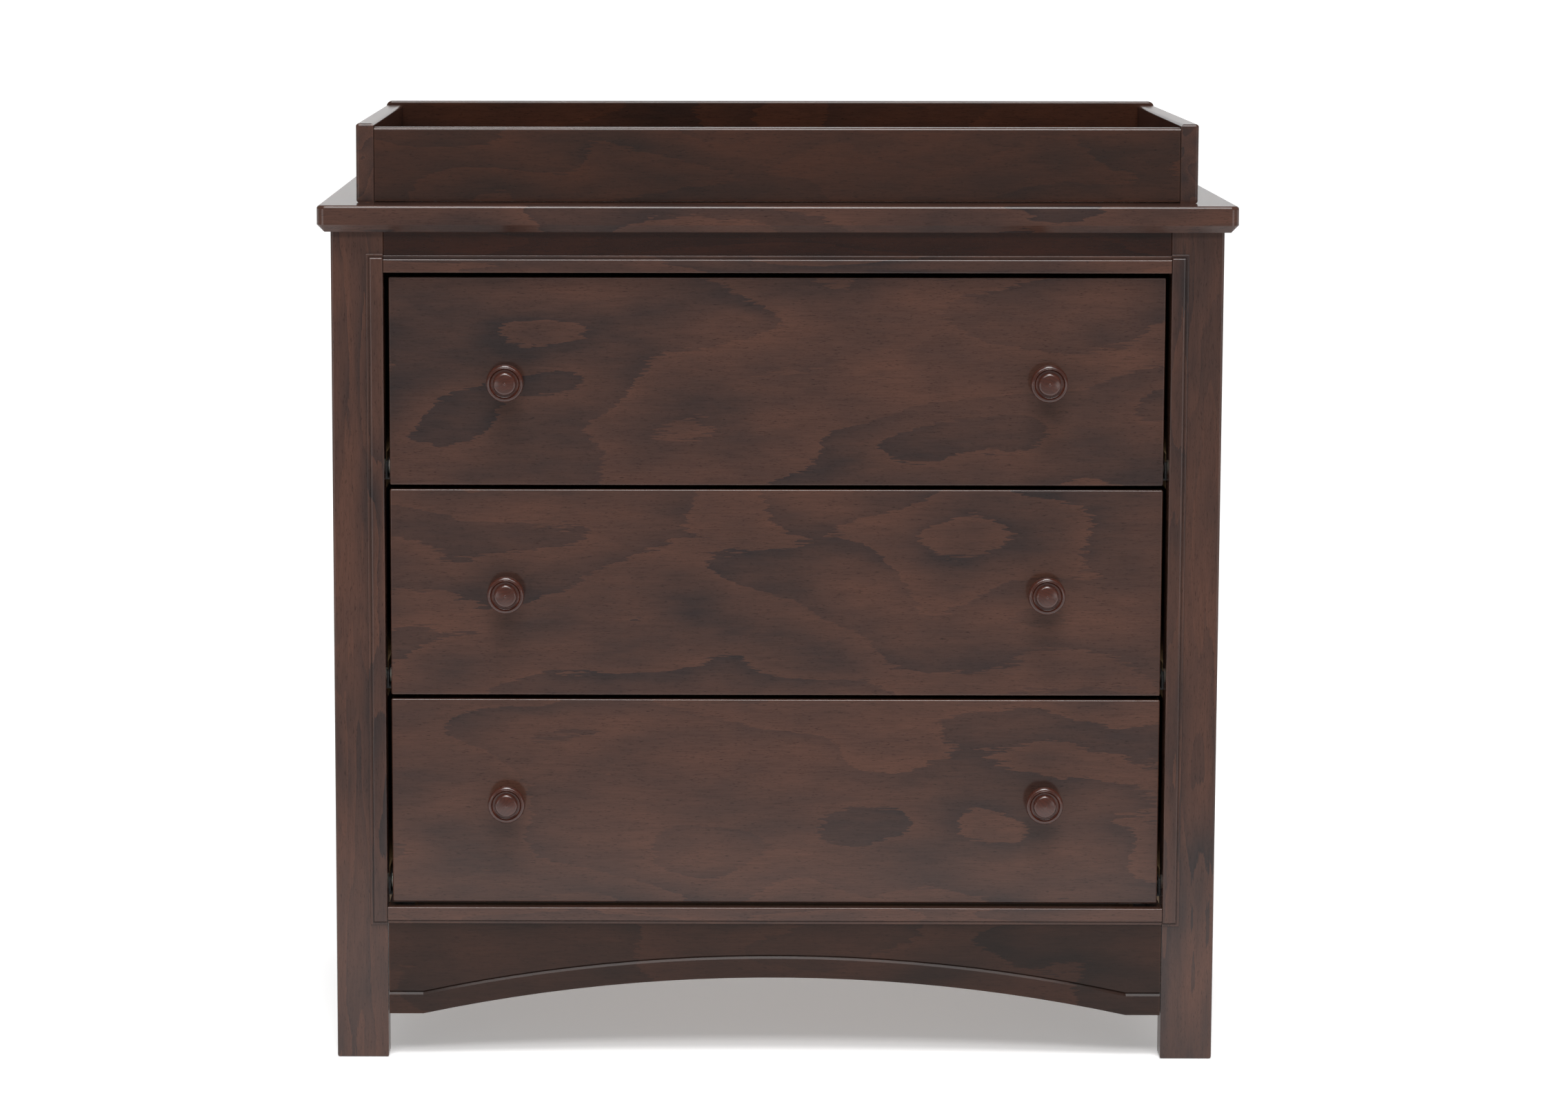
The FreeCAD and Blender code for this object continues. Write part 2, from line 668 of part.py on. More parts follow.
def make_apron():
    """The arched apron with its routed groove, parallel to the arch."""
    body = DOC.addObject("PartDesign::Body", "apron")
    finished(body, "apron")
    half = "(body_width / 2 - post_width - apron_gap)"
    radius = "(arch_half ^ 2 + arch_rise ^ 2) / (2 * arch_rise)"
    sketch = new_sketch(body, "apron_outline", "XZ_Plane")
    outline(sketch, [
        (f"-{half}", "0"),
        ("-arch_half", "0"),
        ("arch_half", "0", radius, 1),
        (half, "0"),
        (half, "opening_low - apron_low"),
        (f"-{half}", "opening_low - apron_low"),
    ])
    blank = pad(body, sketch, "rail_thick", away=True)

    def band(name, offset, low, top):
        """An outline of the groove at one depth, between two heights above the lower edge."""
        past = f"({half} + 2)"
        item = new_sketch(body, name, "XZ_Plane", offset)
        outline(item, [
            (f"-{past}", low),
            ("-arch_half", low),
            ("arch_half", low, radius, 1),
            (past, low),
            (past, top),
            ("arch_half", top),
            ("-arch_half", top, radius, -1),
            (f"-{past}", top),
        ])
        return item

    mouth = band("apron_groove_mouth", "0", "groove_low", "groove_top")
    floor = band("apron_groove_floor", "-groove_deep", "groove_floor", "groove_top")
    groove = body.newObject("PartDesign::SubtractiveLoft", "apron_groove")
    groove.Profile = mouth
    groove.Sections = [floor]
    groove.Ruled = True
    DOC.recompute()
    if not groove.Shape.Volume < blank.Shape.Volume - 100:
        raise RuntimeError("apron: the routed groove cut nothing")
    place(body, z="apron_low")


# ---------------------------------------------------------------- roller slides

CHANNEL_FACE = "(body_width / 2 - post_width)"
BOX_FACE = "(box_width / 2)"
FRONT_WHEEL_BACK = "(slide_front + front_wheel)"
FRONT_WHEEL_UP = "(hook_low + hook_tall - steel - wheel_play - wheel_radius)"
REAR_WHEEL_BACK = "(front_set + front_thick + slide_long - rear_wheel)"
REAR_WHEEL_UP = "(channel_low + steel + wheel_play + wheel_radius)"
PIN_REACH = "(channel_wide - 1)"


def make_runner(word, level):
    """Cabinet members: a channel with the front roller's pin, one on each side."""
    name = f"{word}_drawer_runners"
    web = block(f"{name}_web", (f"{CHANNEL_FACE} - steel", "slide_front", "channel_low"),
                ("steel", "slide_long", "channel_tall"))
    track = block(f"{name}_track", (f"{CHANNEL_FACE} - channel_wide", "slide_front", "channel_low"),
                  ("channel_wide", "slide_long", "steel"))
    keeper = block(f"{name}_keeper", (f"{CHANNEL_FACE} - channel_wide", "slide_front + channel_notch",
                                      "channel_low + channel_tall - steel"),
                   ("channel_wide", "slide_long - channel_notch", "steel"))
    stop = block(f"{name}_stop", (f"{CHANNEL_FACE} - channel_wide", "slide_front + slide_long - steel",
                                  "channel_low"),
                 ("channel_wide", "steel", "channel_tall"))
    pin = rod_x(f"{name}_pin", (f"{CHANNEL_FACE} - {PIN_REACH}", FRONT_WHEEL_BACK, FRONT_WHEEL_UP),
                "pin_radius", PIN_REACH)
    cap = rod_x(f"{name}_cap", (f"{CHANNEL_FACE} - {PIN_REACH}", FRONT_WHEEL_BACK, FRONT_WHEEL_UP),
                "pin_cap", "1")
    both = pair(name, fused(f"{name}_right", [web, track, keeper, stop, pin, cap]))
    place(both, z=drawer_low(level))


def make_hook(word, level):
    """Drawer members: a bent strip under and beside the box, with the rear roller's pin."""
    name = f"{word}_drawer_slides"
    start = "(front_set + front_thick)"
    under = block(f"{name}_under", (f"{BOX_FACE} - box_thick", start, "hook_low"),
                  ("box_thick + steel", "slide_long", "box_lift - hook_low"))
    web = block(f"{name}_web", (BOX_FACE, start, "hook_low"), ("steel", "slide_long", "hook_tall"))
    flange = block(f"{name}_flange", (BOX_FACE, start, "hook_low + hook_tall - steel"),
                   ("steel + hook_flange", "slide_long", "steel"))
    pin = rod_x(f"{name}_pin", (BOX_FACE, REAR_WHEEL_BACK, REAR_WHEEL_UP), "pin_radius", PIN_REACH)
    cap = rod_x(f"{name}_cap", (f"{BOX_FACE} + {PIN_REACH} - 1", REAR_WHEEL_BACK, REAR_WHEEL_UP),
                "pin_cap", "1")
    both = pair(name, fused(f"{name}_right", [under, web, flange, pin, cap]))
    place(both, z=drawer_low(level))


def make_wheels(word, level):
    """Nylon rollers: the front pair turns on the runners, the rear pair on the drawer."""
    spots = {
        "front": (f"{CHANNEL_FACE} - {PIN_REACH} + 1.4", FRONT_WHEEL_BACK, FRONT_WHEEL_UP),
        "rear": (f"{BOX_FACE} + steel + 0.5", REAR_WHEEL_BACK, REAR_WHEEL_UP),
    }
    for end, spot in spots.items():
        name = f"{word}_drawer_{end}_rollers"
        tyre = rod_x(f"{name}_tyre", spot, "wheel_radius", "wheel_wide")
        bore = rod_x(f"{name}_bore", spot, "wheel_bore", "wheel_wide")
        both = pair(name, cut(f"{name}_right", tyre, bore))
        place(both, z=drawer_low(level))


# ---------------------------------------------------------------- drawers

def make_drawer_front(word, level):
    """The inset drawer front, eased all round its face."""
    name = f"{word}_drawer_front"
    body, blank = board(name, "front_width", "front_thick", "front_tall")
    half = number("front_width / 2")
    tall = number("front_tall")
    fillet(body, blank, "front_ease", {"y": 0}, {"x": half, "z": 0}, {"x": -half, "z": 0},
           {"x": half, "z": tall}, {"x": -half, "z": tall})
    cut_box(body, ("-(box_width / 2 - box_thick + floor_inlet)", "front_thick - floor_inlet",
                   "box_lift + floor_lift"),
            ("box_width - 2 * box_thick + 2 * floor_inlet", "floor_inlet", "floor_thick + 2 * floor_play"))
    for sign in SIDES.values():
        drill(body, f"{sign} * knob_span / 2", "0", "front_tall / 2", "knob_screw", "front_thick")
    place(body, back="front_set", z=drawer_low(level))


def make_drawer_box(word, level):
    """Sides, back and bottom panel of a drawer box."""
    low = f"{drawer_low(level)} + box_lift"
    start = "front_set + front_thick"
    tall = number("box_tall")
    half = number("box_thick / 2")
    for side, sign in SIDES.items():
        body, blank = board(f"{word}_drawer_{side}_side", "box_thick", "box_long", "box_tall")
        fillet(body, blank, "box_ease", {"z": tall, "x": half}, {"z": tall, "x": -half})
        inner = "-box_thick / 2" if sign == 1 else "box_thick / 2 - floor_inlet"
        cut_box(body, (inner, "0", "floor_lift"),
                ("floor_inlet", "box_long", "floor_thick + 2 * floor_play"))
        place(body, f"{sign} * (box_width / 2 - box_thick / 2)", start, low)

    body, blank = board(f"{word}_drawer_back", "box_width - 2 * box_thick", "box_thick",
                        "box_tall - floor_lift - floor_thick - 2 * floor_play")
    top = number("box_tall - floor_lift - floor_thick - 2 * floor_play")
    fillet(body, blank, "box_ease", {"z": top, "y": 0}, {"z": top, "y": number("box_thick")})
    place(body, back=f"{start} + box_long - box_thick",
          z=f"{low} + floor_lift + floor_thick + 2 * floor_play")

    body, _ = board(f"{word}_drawer_bottom",
                    "box_width - 2 * box_thick + 2 * (floor_inlet - floor_play)",
                    "box_long + floor_inlet - floor_play", "floor_thick")
    place(body, back=f"{start} - floor_inlet + floor_play", z=f"{low} + floor_lift + floor_play")


def knob_profile(sketch):
    """Half of the turned knob: X is the radius, Y how far back from the drawer front (negative: out).

    From the foot outwards: foot, waist, cup, rim, groove, thin ring, groove, low dome and its button.
    """
    outline(sketch, [
        ("knob_screw", "0"),
        ("knob_screw", "-knob_tap"),
        ("0", "-knob_tap"),
        ("0", "-knob_out"),
        ("pip_radius", "-(knob_out - pip_fall)", "pip_curve", -1),
        ("dome_radius", "-(knob_out - dome_fall)", "dome_curve", -1),
        ("shoulder_radius", "-(knob_out - shoulder_fall)", "shoulder_curve", -1),
        ("shoulder_radius", "-(knob_out - cove_fall)"),
        ("cove_radius", "-(knob_out - cove_fall)"),
        ("lip_inner", "-(knob_out - lip_fall)", "cove_curve", 1),
        ("lip_outer", "-(knob_out - lip_step)", "lip_curve", -1),
        ("lip_outer", "-(knob_out - rim_step)"),
        ("rim_radius", "-(knob_out - rim_fall)", "rim_curve", -1),
        ("back_radius", "-(knob_out - back_fall)", "back_curve", -1),
        ("waist_radius", "-waist_top", "cup_curve", 1),
        ("waist_radius", "-waist_low", "waist_curve", 1),
        ("foot_radius", "-foot_tall"),
        ("foot_radius", "0"),
    ])


def make_knobs(word, level):
    """Two turned knobs and the machine screws that hold them from inside the drawer."""
    for side, sign in SIDES.items():
        name = f"{word}_drawer_{side}_knob"
        body = DOC.addObject("PartDesign::Body", name)
        finished(body, name)
        sketch = new_sketch(body, f"{name}_profile", "XY_Plane")
        knob_profile(sketch)
        turned = body.newObject("PartDesign::Revolution", f"{name}_turned")
        turned.Profile = sketch
        turned.ReferenceAxis = (sketch, ["V_Axis"])
        turned.Angle = 360
        DOC.recompute()
        place(body, f"{sign} * knob_span / 2", "front_set", f"{drawer_low(level)} + front_tall / 2")

    radius = number("knob_screw")
    length = number("front_thick + knob_tap")
    items = []
    for sign in SIDES.values():
        seat = Vector(sign * number("knob_span / 2"), 0, 0)
        stem = Part.makeCylinder(radius, length, seat, Vector(0, -1, 0))
        head = Part.makeCylinder(number("knob_head"), number("knob_head_tall"), seat, Vector(0, 1, 0))
        items.append(stem.fuse(head).removeSplitter())
    group = DOC.addObject("Part::Feature", f"{word}_drawer_knob_screws")
    group.Shape = Part.makeCompound(items)
    finished(group, f"{word}_drawer_knob_screws")
    place(group, back="front_set + front_thick", z=f"{drawer_low(level)} + front_tall / 2")


# ---------------------------------------------------------------- changing tray

def make_tray_boards():
    """Side boards that cap the front board, and a rear board across both."""
    tall = number("tray_side_tall")
    half = number("tray_thick / 2")
    for side, sign in SIDES.items():
        body, blank = board(f"tray_{side}_board", "tray_thick", "tray_depth - tray_thick", "tray_side_tall")
        fillet(body, blank, "tray_round", {"z": tall, "x": half}, {"z": tall, "x": -half},
               {"z": tall, "y": 0}, {"x": sign * half, "y": 0}, {"x": sign * half, "z": 0})
        place(body, f"{sign} * (tray_width - tray_thick) / 2", "tray_back - tray_depth",
              "post_height + slab_thick")

    body, blank = board("tray_front_board", "tray_width - 2 * tray_thick - 2 * tray_gap", "tray_thick",
                        "tray_front_tall")
    top = number("tray_front_tall")
    fillet(body, blank, "tray_round", {"z": top, "y": 0}, {"z": top, "y": number("tray_thick")})
    place(body, back="tray_back - tray_depth + tray_set", z="post_height + slab_thick + tray_front_lift")

    body, blank = board("tray_rear_board", "tray_width", "tray_thick", "tray_rear_tall")
    top = number("tray_rear_tall")
    wide = number("tray_width / 2")
    corners = fillet(body, blank, "tray_corner", {"x": wide, "z": top}, {"x": -wide, "z": top})
    rim = fillet(body, corners, "tray_round * 0.8", {"y": 0, "z": top}, {"y": number("tray_thick"), "z": top})
    for sign in SIDES.values():
        for index in range(2):
            drill(body, f"{sign} * plate_span / 2", "tray_thick - (screw_long - plate_thick)",
                  f"plate_screw_low + {index} * plate_screw_step - post_height - slab_thick",
                  "screw_radius", "screw_long")
    if not rim.Shape.isValid():
        raise RuntimeError("tray_rear_board: rounded edges failed")
    place(body, back="tray_back - tray_thick", z="post_height + slab_thick")


def make_brackets():
    """Steel strips behind the tray, each with a slot that drops over a screw in the dresser top."""
    low_x = "plate_span / 2 - plate_wide / 2"
    strip = block("bracket_strip", (low_x, "0", "0"), ("plate_wide", "plate_thick", "plate_tall"))
    slot = block("bracket_slot", ("plate_span / 2 - slot_wide / 2", "-1", "-1"),
                 ("slot_wide", "plate_thick + 2", "slot_up - plate_low + 1"))
    turn = Rotation(Vector(1, 0, 0), -90)
    slot_end = solid("Cylinder", "bracket_slot_end", {"Radius": "slot_wide / 2", "Height": "plate_thick + 2"},
                     ("plate_span / 2", "-1", "slot_up - plate_low"), turn)
    through = {"Radius": "screw_radius", "Height": "plate_thick + 2"}
    holes = []
    for index in range(2):
        up = f"plate_screw_low + {index} * plate_screw_step - plate_low"
        holes.append(solid("Cylinder", f"bracket_hole_{index}", through, ("plate_span / 2", "-1", up), turn))
    rounded = DOC.addObject("Part::Fillet", "bracket_rounded")
    rounded.Base = strip
    DOC.recompute()
    upright = [index for index, edge in enumerate(strip.Shape.Edges, start=1)
               if abs(edge.tangentAt(edge.FirstParameter).y) > 0.99]
    radius = number("plate_round")
    rounded.Edges = [(index, radius, radius) for index in upright]
    plate = cut("bracket_right", rounded, fused("bracket_cutters", [slot, slot_end] + holes))
    both = pair("tray_brackets", plate)
    place(both, back="tray_back", z="plate_low")


def make_tray_screws():
    """The screws that hold the brackets to the tray."""
    seat_y = number("front_face + tray_back + plate_thick")
    seats = [Vector(sign * number("plate_span / 2"), seat_y,
                    number(f"plate_screw_low + {index} * plate_screw_step"))
             for sign in SIDES.values() for index in range(2)]
    screws("tray_screws", seats)


# ---------------------------------------------------------------- build, test and write

make_top()
make_posts()
make_rails()
make_sides()
make_back()
make_rear_screws()
make_rail_mouldings()
make_post_mouldings()
make_apron()
for drawer_word, drawer_level in DRAWERS.items():
    make_runner(drawer_word, drawer_level)
    make_drawer_front(drawer_word, drawer_level)
    make_drawer_box(drawer_word, drawer_level)
    make_knobs(drawer_word, drawer_level)
    make_hook(drawer_word, drawer_level)
    make_wheels(drawer_word, drawer_level)
make_tray_boards()
make_brackets()
make_tray_screws()
DOC.recompute()

failed = [item.Label for item in DOC.Objects if "Invalid" in item.State or "Error" in item.State]
if failed:
    raise RuntimeError(f"features that failed: {failed}")
for part in PARTS:
    if part.Shape.isNull() or not part.Shape.isValid() or not part.Shape.Solids:
        raise RuntimeError(f"{part.Label}: no valid solid")

os.makedirs("parts", exist_ok=True)
for part in PARTS:
    part.Shape.exportStep(f"parts/{part.Label}.step")
    box = part.Shape.BoundBox
    print(f"{part.Label:30s} solids {len(part.Shape.Solids):2d}  volume {part.Shape.Volume / 1000:9.2f} cm3"
          f"  x {box.XMin:7.1f} {box.XMax:7.1f}  y {box.YMin:7.1f} {box.YMax:7.1f}"
          f"  z {box.ZMin:7.1f} {box.ZMax:7.1f}")
print(f"{len(PARTS)} sub-parts")
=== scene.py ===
"""Looks of a changing table: a dresser with three drawers and a changing tray on its top."""

import logging
import math
from dataclasses import dataclass, replace
from enum import Enum

import bmesh
import bpy
from mathutils import Euler, Matrix, Vector


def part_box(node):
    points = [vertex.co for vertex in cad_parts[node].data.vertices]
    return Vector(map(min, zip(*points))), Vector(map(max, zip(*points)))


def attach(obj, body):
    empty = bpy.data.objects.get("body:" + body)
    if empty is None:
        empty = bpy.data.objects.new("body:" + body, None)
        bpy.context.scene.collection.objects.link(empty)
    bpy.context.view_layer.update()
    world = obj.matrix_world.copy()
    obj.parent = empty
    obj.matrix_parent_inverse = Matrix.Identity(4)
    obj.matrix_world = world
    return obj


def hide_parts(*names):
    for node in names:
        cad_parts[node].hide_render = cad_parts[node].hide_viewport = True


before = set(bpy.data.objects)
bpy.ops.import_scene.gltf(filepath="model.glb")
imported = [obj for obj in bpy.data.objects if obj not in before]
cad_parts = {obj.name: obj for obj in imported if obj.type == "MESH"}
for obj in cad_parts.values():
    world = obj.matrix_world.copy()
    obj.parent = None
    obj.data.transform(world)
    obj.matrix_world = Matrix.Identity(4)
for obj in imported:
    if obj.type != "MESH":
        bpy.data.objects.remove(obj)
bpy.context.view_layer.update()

logging.basicConfig(level=logging.INFO, format="%(message)s")
log = logging.getLogger("changing_table")

MM = 0.001
# Depth of the finest relief on a finish, in metres.
RELIEF = 0.0001
LEVELS = ("bottom", "middle", "top")

# Sockets of the Mix node that hold a factor and two colours.
MIX_FACTOR, MIX_A, MIX_B, MIX_COLOUR = 0, 6, 7, 2

Socket = bpy.types.NodeSocket
Tree = bpy.types.NodeTree
Material = bpy.types.Material


# ---------------------------------------------------------------- colours and nodes

def colour(hex_code: str) -> tuple[float, float, float, float]:
    """Turn an sRGB hex value into linear light.

    Args:
        hex_code: the colour as "#rrggbb".

    Returns:
        Linear red, green, blue and an alpha of one.
    """
    parts = [int(hex_code[place:place + 2], 16) / 255 for place in (1, 3, 5)]
    light = [part / 12.92 if part <= 0.04045 else ((part + 0.055) / 1.055) ** 2.4 for part in parts]
    return (*light, 1.0)


def add_node(tree: Tree, kind: str, settings: dict | None = None,
             links: dict | None = None) -> bpy.types.Node:
    """Add a node with its settings and links.

    Args:
        tree: the node tree that gets the node.
        kind: the node's type.
        settings: properties and socket values by name or number; "stops" are a colour ramp's.
        links: the output that feeds each input, by the input's name or number.

    Returns:
        The new node.
    """
    node = tree.nodes.new(kind)
    for key, value in (settings or {}).items():
        if key == "stops":
            ramp = node.color_ramp.elements
            while len(ramp) < len(value):
                ramp.new(1.0)
            for stop, (position, shade) in zip(ramp, value):
                stop.position = position
                stop.color = colour(shade)
        elif isinstance(key, str) and hasattr(node, key):
            setattr(node, key, value)
        else:
            node.inputs[key].default_value = value
    for key, output in (links or {}).items():
        tree.links.new(output, node.inputs[key])
    return node


def new_material(title: str) -> tuple[Material, Tree, Socket]:
    """Start a material.

    Args:
        title: its name.

    Returns:
        The material, its empty node tree and the socket of its Object coordinates.
    """
    material = bpy.data.materials.new(title)
    material.use_nodes = True
    tree = material.node_tree
    tree.nodes.clear()
    place = add_node(tree, "ShaderNodeTexCoord").outputs["Object"]
    return material, tree, place


def close_material(tree: Tree, sockets: dict, links: dict) -> None:
    """Add the surface shader and the output.

    Args:
        tree: the material's node tree.
        sockets: constants of the surface shader.
        links: what feeds its other sockets.
    """
    surface = add_node(tree, "ShaderNodeBsdfPrincipled", sockets, links)
    add_node(tree, "ShaderNodeOutputMaterial", links={"Surface": surface.outputs["BSDF"]})


def drawn_out(tree: Tree, place: Socket, seed: float, long_mm: float, wide_mm: float,
              detail: float = 3.0) -> Socket:
    """Noise that is drawn out along the fibres.

    Args:
        tree: the node tree.
        place: coordinates with the fibres along X.
        seed: which noise of its kind.
        long_mm: length of a mark along the fibres.
        wide_mm: width of a mark across them.
        detail: finer noise on top.

    Returns:
        The noise, from 0 to 1.
    """
    across = long_mm / wide_mm
    squeezed = add_node(tree, "ShaderNodeVectorMath", {"operation": "MULTIPLY", 1: (1.0, across, across)},
                        {0: place})
    noise = add_node(tree, "ShaderNodeTexNoise",
                     {"noise_dimensions": "4D", "W": seed, "Scale": 1 / (long_mm * MM), "Detail": detail,
                      "Roughness": 0.6},
                     {"Vector": squeezed.outputs["Vector"]})
    return noise.outputs["Fac"]


def edge_nearness(tree: Tree, place: Socket, node: str, reach_mm: float) -> Socket:
    """Where a board's edges are.

    Args:
        tree: the node tree.
        place: Object coordinates.
        node: the board's CAD node.
        reach_mm: how far in from an edge it counts.

    Returns:
        0 in the middle of the board's faces, 1 along its edges.
    """
    low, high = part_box(node)
    from_middle = add_node(tree, "ShaderNodeVectorMath",
                           {"operation": "SUBTRACT", 1: tuple((low + high) / 2)}, {0: place})
    distance = add_node(tree, "ShaderNodeVectorMath", {"operation": "ABSOLUTE"},
                        {0: from_middle.outputs["Vector"]})
    inside = add_node(tree, "ShaderNodeVectorMath",
                      {"operation": "SUBTRACT", 1: tuple((high - low) / 2)},
                      {0: distance.outputs["Vector"]})
    axes = add_node(tree, "ShaderNodeSeparateXYZ", links={0: inside.outputs["Vector"]}).outputs
    lesser = add_node(tree, "ShaderNodeMath", {"operation": "MINIMUM"}, {0: axes[0], 1: axes[1]})
    greater = add_node(tree, "ShaderNodeMath", {"operation": "MAXIMUM"}, {0: axes[0], 1: axes[1]})
    third = add_node(tree, "ShaderNodeMath", {"operation": "MINIMUM"},
                     {0: greater.outputs[0], 1: axes[2]})
    second = add_node(tree, "ShaderNodeMath", {"operation": "MAXIMUM"},
                      {0: lesser.outputs[0], 1: third.outputs[0]})
    near = add_node(tree, "ShaderNodeMapRange",
                    {"From Min": -reach_mm * MM, "From Max": 0.0, "To Min": 0.0, "To Max": 1.0,
                     "interpolation_type": "SMOOTHSTEP"},
                    {"Value": second.outputs[0]})
    return near.outputs["Result"]


# ---------------------------------------------------------------- finishes

class Grain(Enum):
    """Which way a board's fibres run, as the turn in degrees that lays them along X."""

    ALONG_X = (0.0, 0.0, 0.0)
    ALONG_Y = (0.0, 0.0, -90.0)
    ALONG_Z = (0.0, 90.0, 0.0)

    def turn(self) -> Euler:
        """The turn, in radians."""
        return Euler([math.radians(angle) for angle in self.value], "XYZ")


@dataclass(frozen=True)
class WoodFinish:
    """Hardwood boards with a finish on them.

    The figure, the fibres and the pores follow each board's own grain, and no two boards are cut
    from the same place. Sizes that come in twos are a mark's length and width in millimetres.
    """

    title: str
    warm: str
    cool: str
    pore: str
    edge_highlight: str
    figure_mm: float
    slimness: float
    bands: float
    figure_depth: float
    fibre_depth: float
    pore_depth: float
    # wear: how strongly the edges are painted paler, a painted highlight along them.
    wear: float
    rough_low: float
    rough_high: float
    gloss: float
    coat: float
    coat_rough: float
    teeth_mm: tuple[float, float] = (30.0, 2.6)
    teeth_depth: float = 0.45
    patch_mm: tuple[float, float] = (260.0, 90.0)
    cloud_mm: tuple[float, float] = (150.0, 50.0)
    fibre_mm: tuple[float, float] = (20.0, 1.4)
    pore_mm: tuple[float, float] = (5.0, 0.6)
    rub_and_highlight_mm: tuple[float, float] = (60.0, 20.0)
    edge_mm: float = 2.2

    def figure(self, tree: Tree, along: Socket, seed: float) -> Socket:
        """The growth rings where a cut grazes them, like the height lines of a map.

        Args:
            tree: the node tree.
            along: coordinates with the fibres along X.
            seed: the board's own number.

        Returns:
            0 on one side of each line, rising slowly to 1 at the next line.
        """
        hills = drawn_out(tree, along, seed, self.figure_mm, self.figure_mm / self.slimness, 1.2)
        # The fibres end in small teeth along each line.
        teeth = drawn_out(tree, along, seed + 4, *self.teeth_mm, 2.0)
        bitten = add_node(tree, "ShaderNodeMath", {"operation": "MULTIPLY", 1: self.teeth_depth},
                          {0: teeth})
        height = add_node(tree, "ShaderNodeMath", {"operation": "MULTIPLY_ADD", 1: self.bands},
                          {0: hills, 2: bitten.outputs[0]})
        return add_node(tree, "ShaderNodeMath", {"operation": "FRACT"},
                        {0: height.outputs[0]}).outputs[0]

    def board(self, node: str, grain: Grain, seed: float) -> Material:
        """Make the material of one board.

        Args:
            node: the board's CAD node.
            grain: which way its fibres run.
            seed: the board's own number.

        Returns:
            The material.
        """
        material, tree, place = new_material(f"{self.title}_{node}")
        along = add_node(tree, "ShaderNodeMapping", {"Rotation": tuple(grain.turn())},
                         {"Vector": place}).outputs["Vector"]
        # The figure fades in and out over the board, so that parts of it look plain.
        patch = add_node(tree, "ShaderNodeMapRange",
                         {"From Min": 0.38, "From Max": 0.6, "To Min": 0.35, "To Max": 1.0},
                         {"Value": drawn_out(tree, along, seed + 1.7, *self.patch_mm, 1.0)})
        bands = add_node(tree, "ShaderNodeMath", {"operation": "MULTIPLY"},
                         {0: self.figure(tree, along, seed), 1: patch.outputs["Result"]})
        # The stain itself clouds a little, and the figure lies on top of it.
        cloud = drawn_out(tree, along, seed + 2.6, *self.cloud_mm, 3.0)
        tone = add_node(tree, "ShaderNodeMath", {"operation": "MULTIPLY_ADD", 1: self.figure_depth},
                        {0: bands.outputs[0], 2: cloud})
        stain = add_node(tree, "ShaderNodeMapRange",
                         {"From Min": 0.38, "From Max": 0.62 + 0.9 * self.figure_depth, "To Min": 0.0,
                          "To Max": 1.0},
                         {"Value": tone.outputs[0]})
        shade = add_node(tree, "ShaderNodeMix",
                         {"data_type": "RGBA", MIX_A: colour(self.warm), MIX_B: colour(self.cool)},
                         {MIX_FACTOR: stain.outputs["Result"]}).outputs[MIX_COLOUR]
        # The fibres: fine streaks, darker where they lie deeper.
        fibre_noise = drawn_out(tree, along, seed + 3.1, *self.fibre_mm, 4.0)
        fibre = add_node(tree, "ShaderNodeValToRGB",
                         {"stops": [(0.3, "#a2a2a2"), (0.52, "#e8e8e8"), (0.7, "#ffffff")]},
                         {"Fac": fibre_noise})
        shade = add_node(tree, "ShaderNodeMix",
                         {"data_type": "RGBA", "blend_type": "MULTIPLY", MIX_FACTOR: self.fibre_depth},
                         {MIX_A: shade, MIX_B: fibre.outputs["Color"]}).outputs[MIX_COLOUR]
        # The real pores are 0.2 mm wide; they are drawn 0.6 mm wide so that they show.
        pores = add_node(tree, "ShaderNodeMapRange",
                         {"From Min": 0.6, "From Max": 0.72, "To Min": 0.0, "To Max": 1.0},
                         {"Value": drawn_out(tree, along, seed + 6.2, *self.pore_mm, 1.0)})
        pore_share = add_node(tree, "ShaderNodeMath", {"operation": "MULTIPLY", 1: self.pore_depth},
                              {0: pores.outputs["Result"]})
        shade = add_node(tree, "ShaderNodeMix", {"data_type": "RGBA", MIX_B: colour(self.pore)},
                         {MIX_FACTOR: pore_share.outputs[0], MIX_A: shade}).outputs[MIX_COLOUR]
        # Painted highlight: the edges are painted a little paler, here more than there, for the light that
        # they catch.
        rub_and_highlight = add_node(tree, "ShaderNodeMapRange",
                       {"From Min": 0.35, "From Max": 0.7, "To Min": 0.15 * self.wear,
                        "To Max": self.wear},
                       {"Value": drawn_out(tree, along, seed + 9.4, *self.rub_and_highlight_mm, 3.0)})
        edge = add_node(tree, "ShaderNodeMath", {"operation": "MULTIPLY"},
                        {0: edge_nearness(tree, place, node, self.edge_mm), 1: rub_and_highlight.outputs["Result"]})
        shade = add_node(tree, "ShaderNodeMix", {"data_type": "RGBA", MIX_B: colour(self.edge_highlight)},
                         {MIX_FACTOR: edge.outputs[0], MIX_A: shade}).outputs[MIX_COLOUR]
        # The fibres and open pores also show in the sheen and as a shallow relief.
        rough = add_node(tree, "ShaderNodeMapRange",
                         {"From Min": 0.3, "From Max": 0.7, "To Min": self.rough_high,
                          "To Max": self.rough_low},
                         {"Value": fibre_noise})
        relief = add_node(tree, "ShaderNodeMath", {"operation": "SUBTRACT"},
                          {0: fibre_noise, 1: pores.outputs["Result"]})
        bump = add_node(tree, "ShaderNodeBump", {"Strength": 0.08, "Distance": RELIEF},
                        {"Height": relief.outputs[0]})
        close_material(tree,
                       {"IOR": 1.5, "Specular IOR Level": self.gloss, "Coat Weight": self.coat,
                        "Coat Roughness": self.coat_rough},
                       {"Base Color": shade, "Roughness": rough.outputs["Result"],
                        "Normal": bump.outputs["Normal"]})
        return material

    def dress(self, node: str, grain: Grain) -> None:
        """Give a board its material.

        Args:
            node: the board's CAD node.
            grain: which way its fibres run.
        """
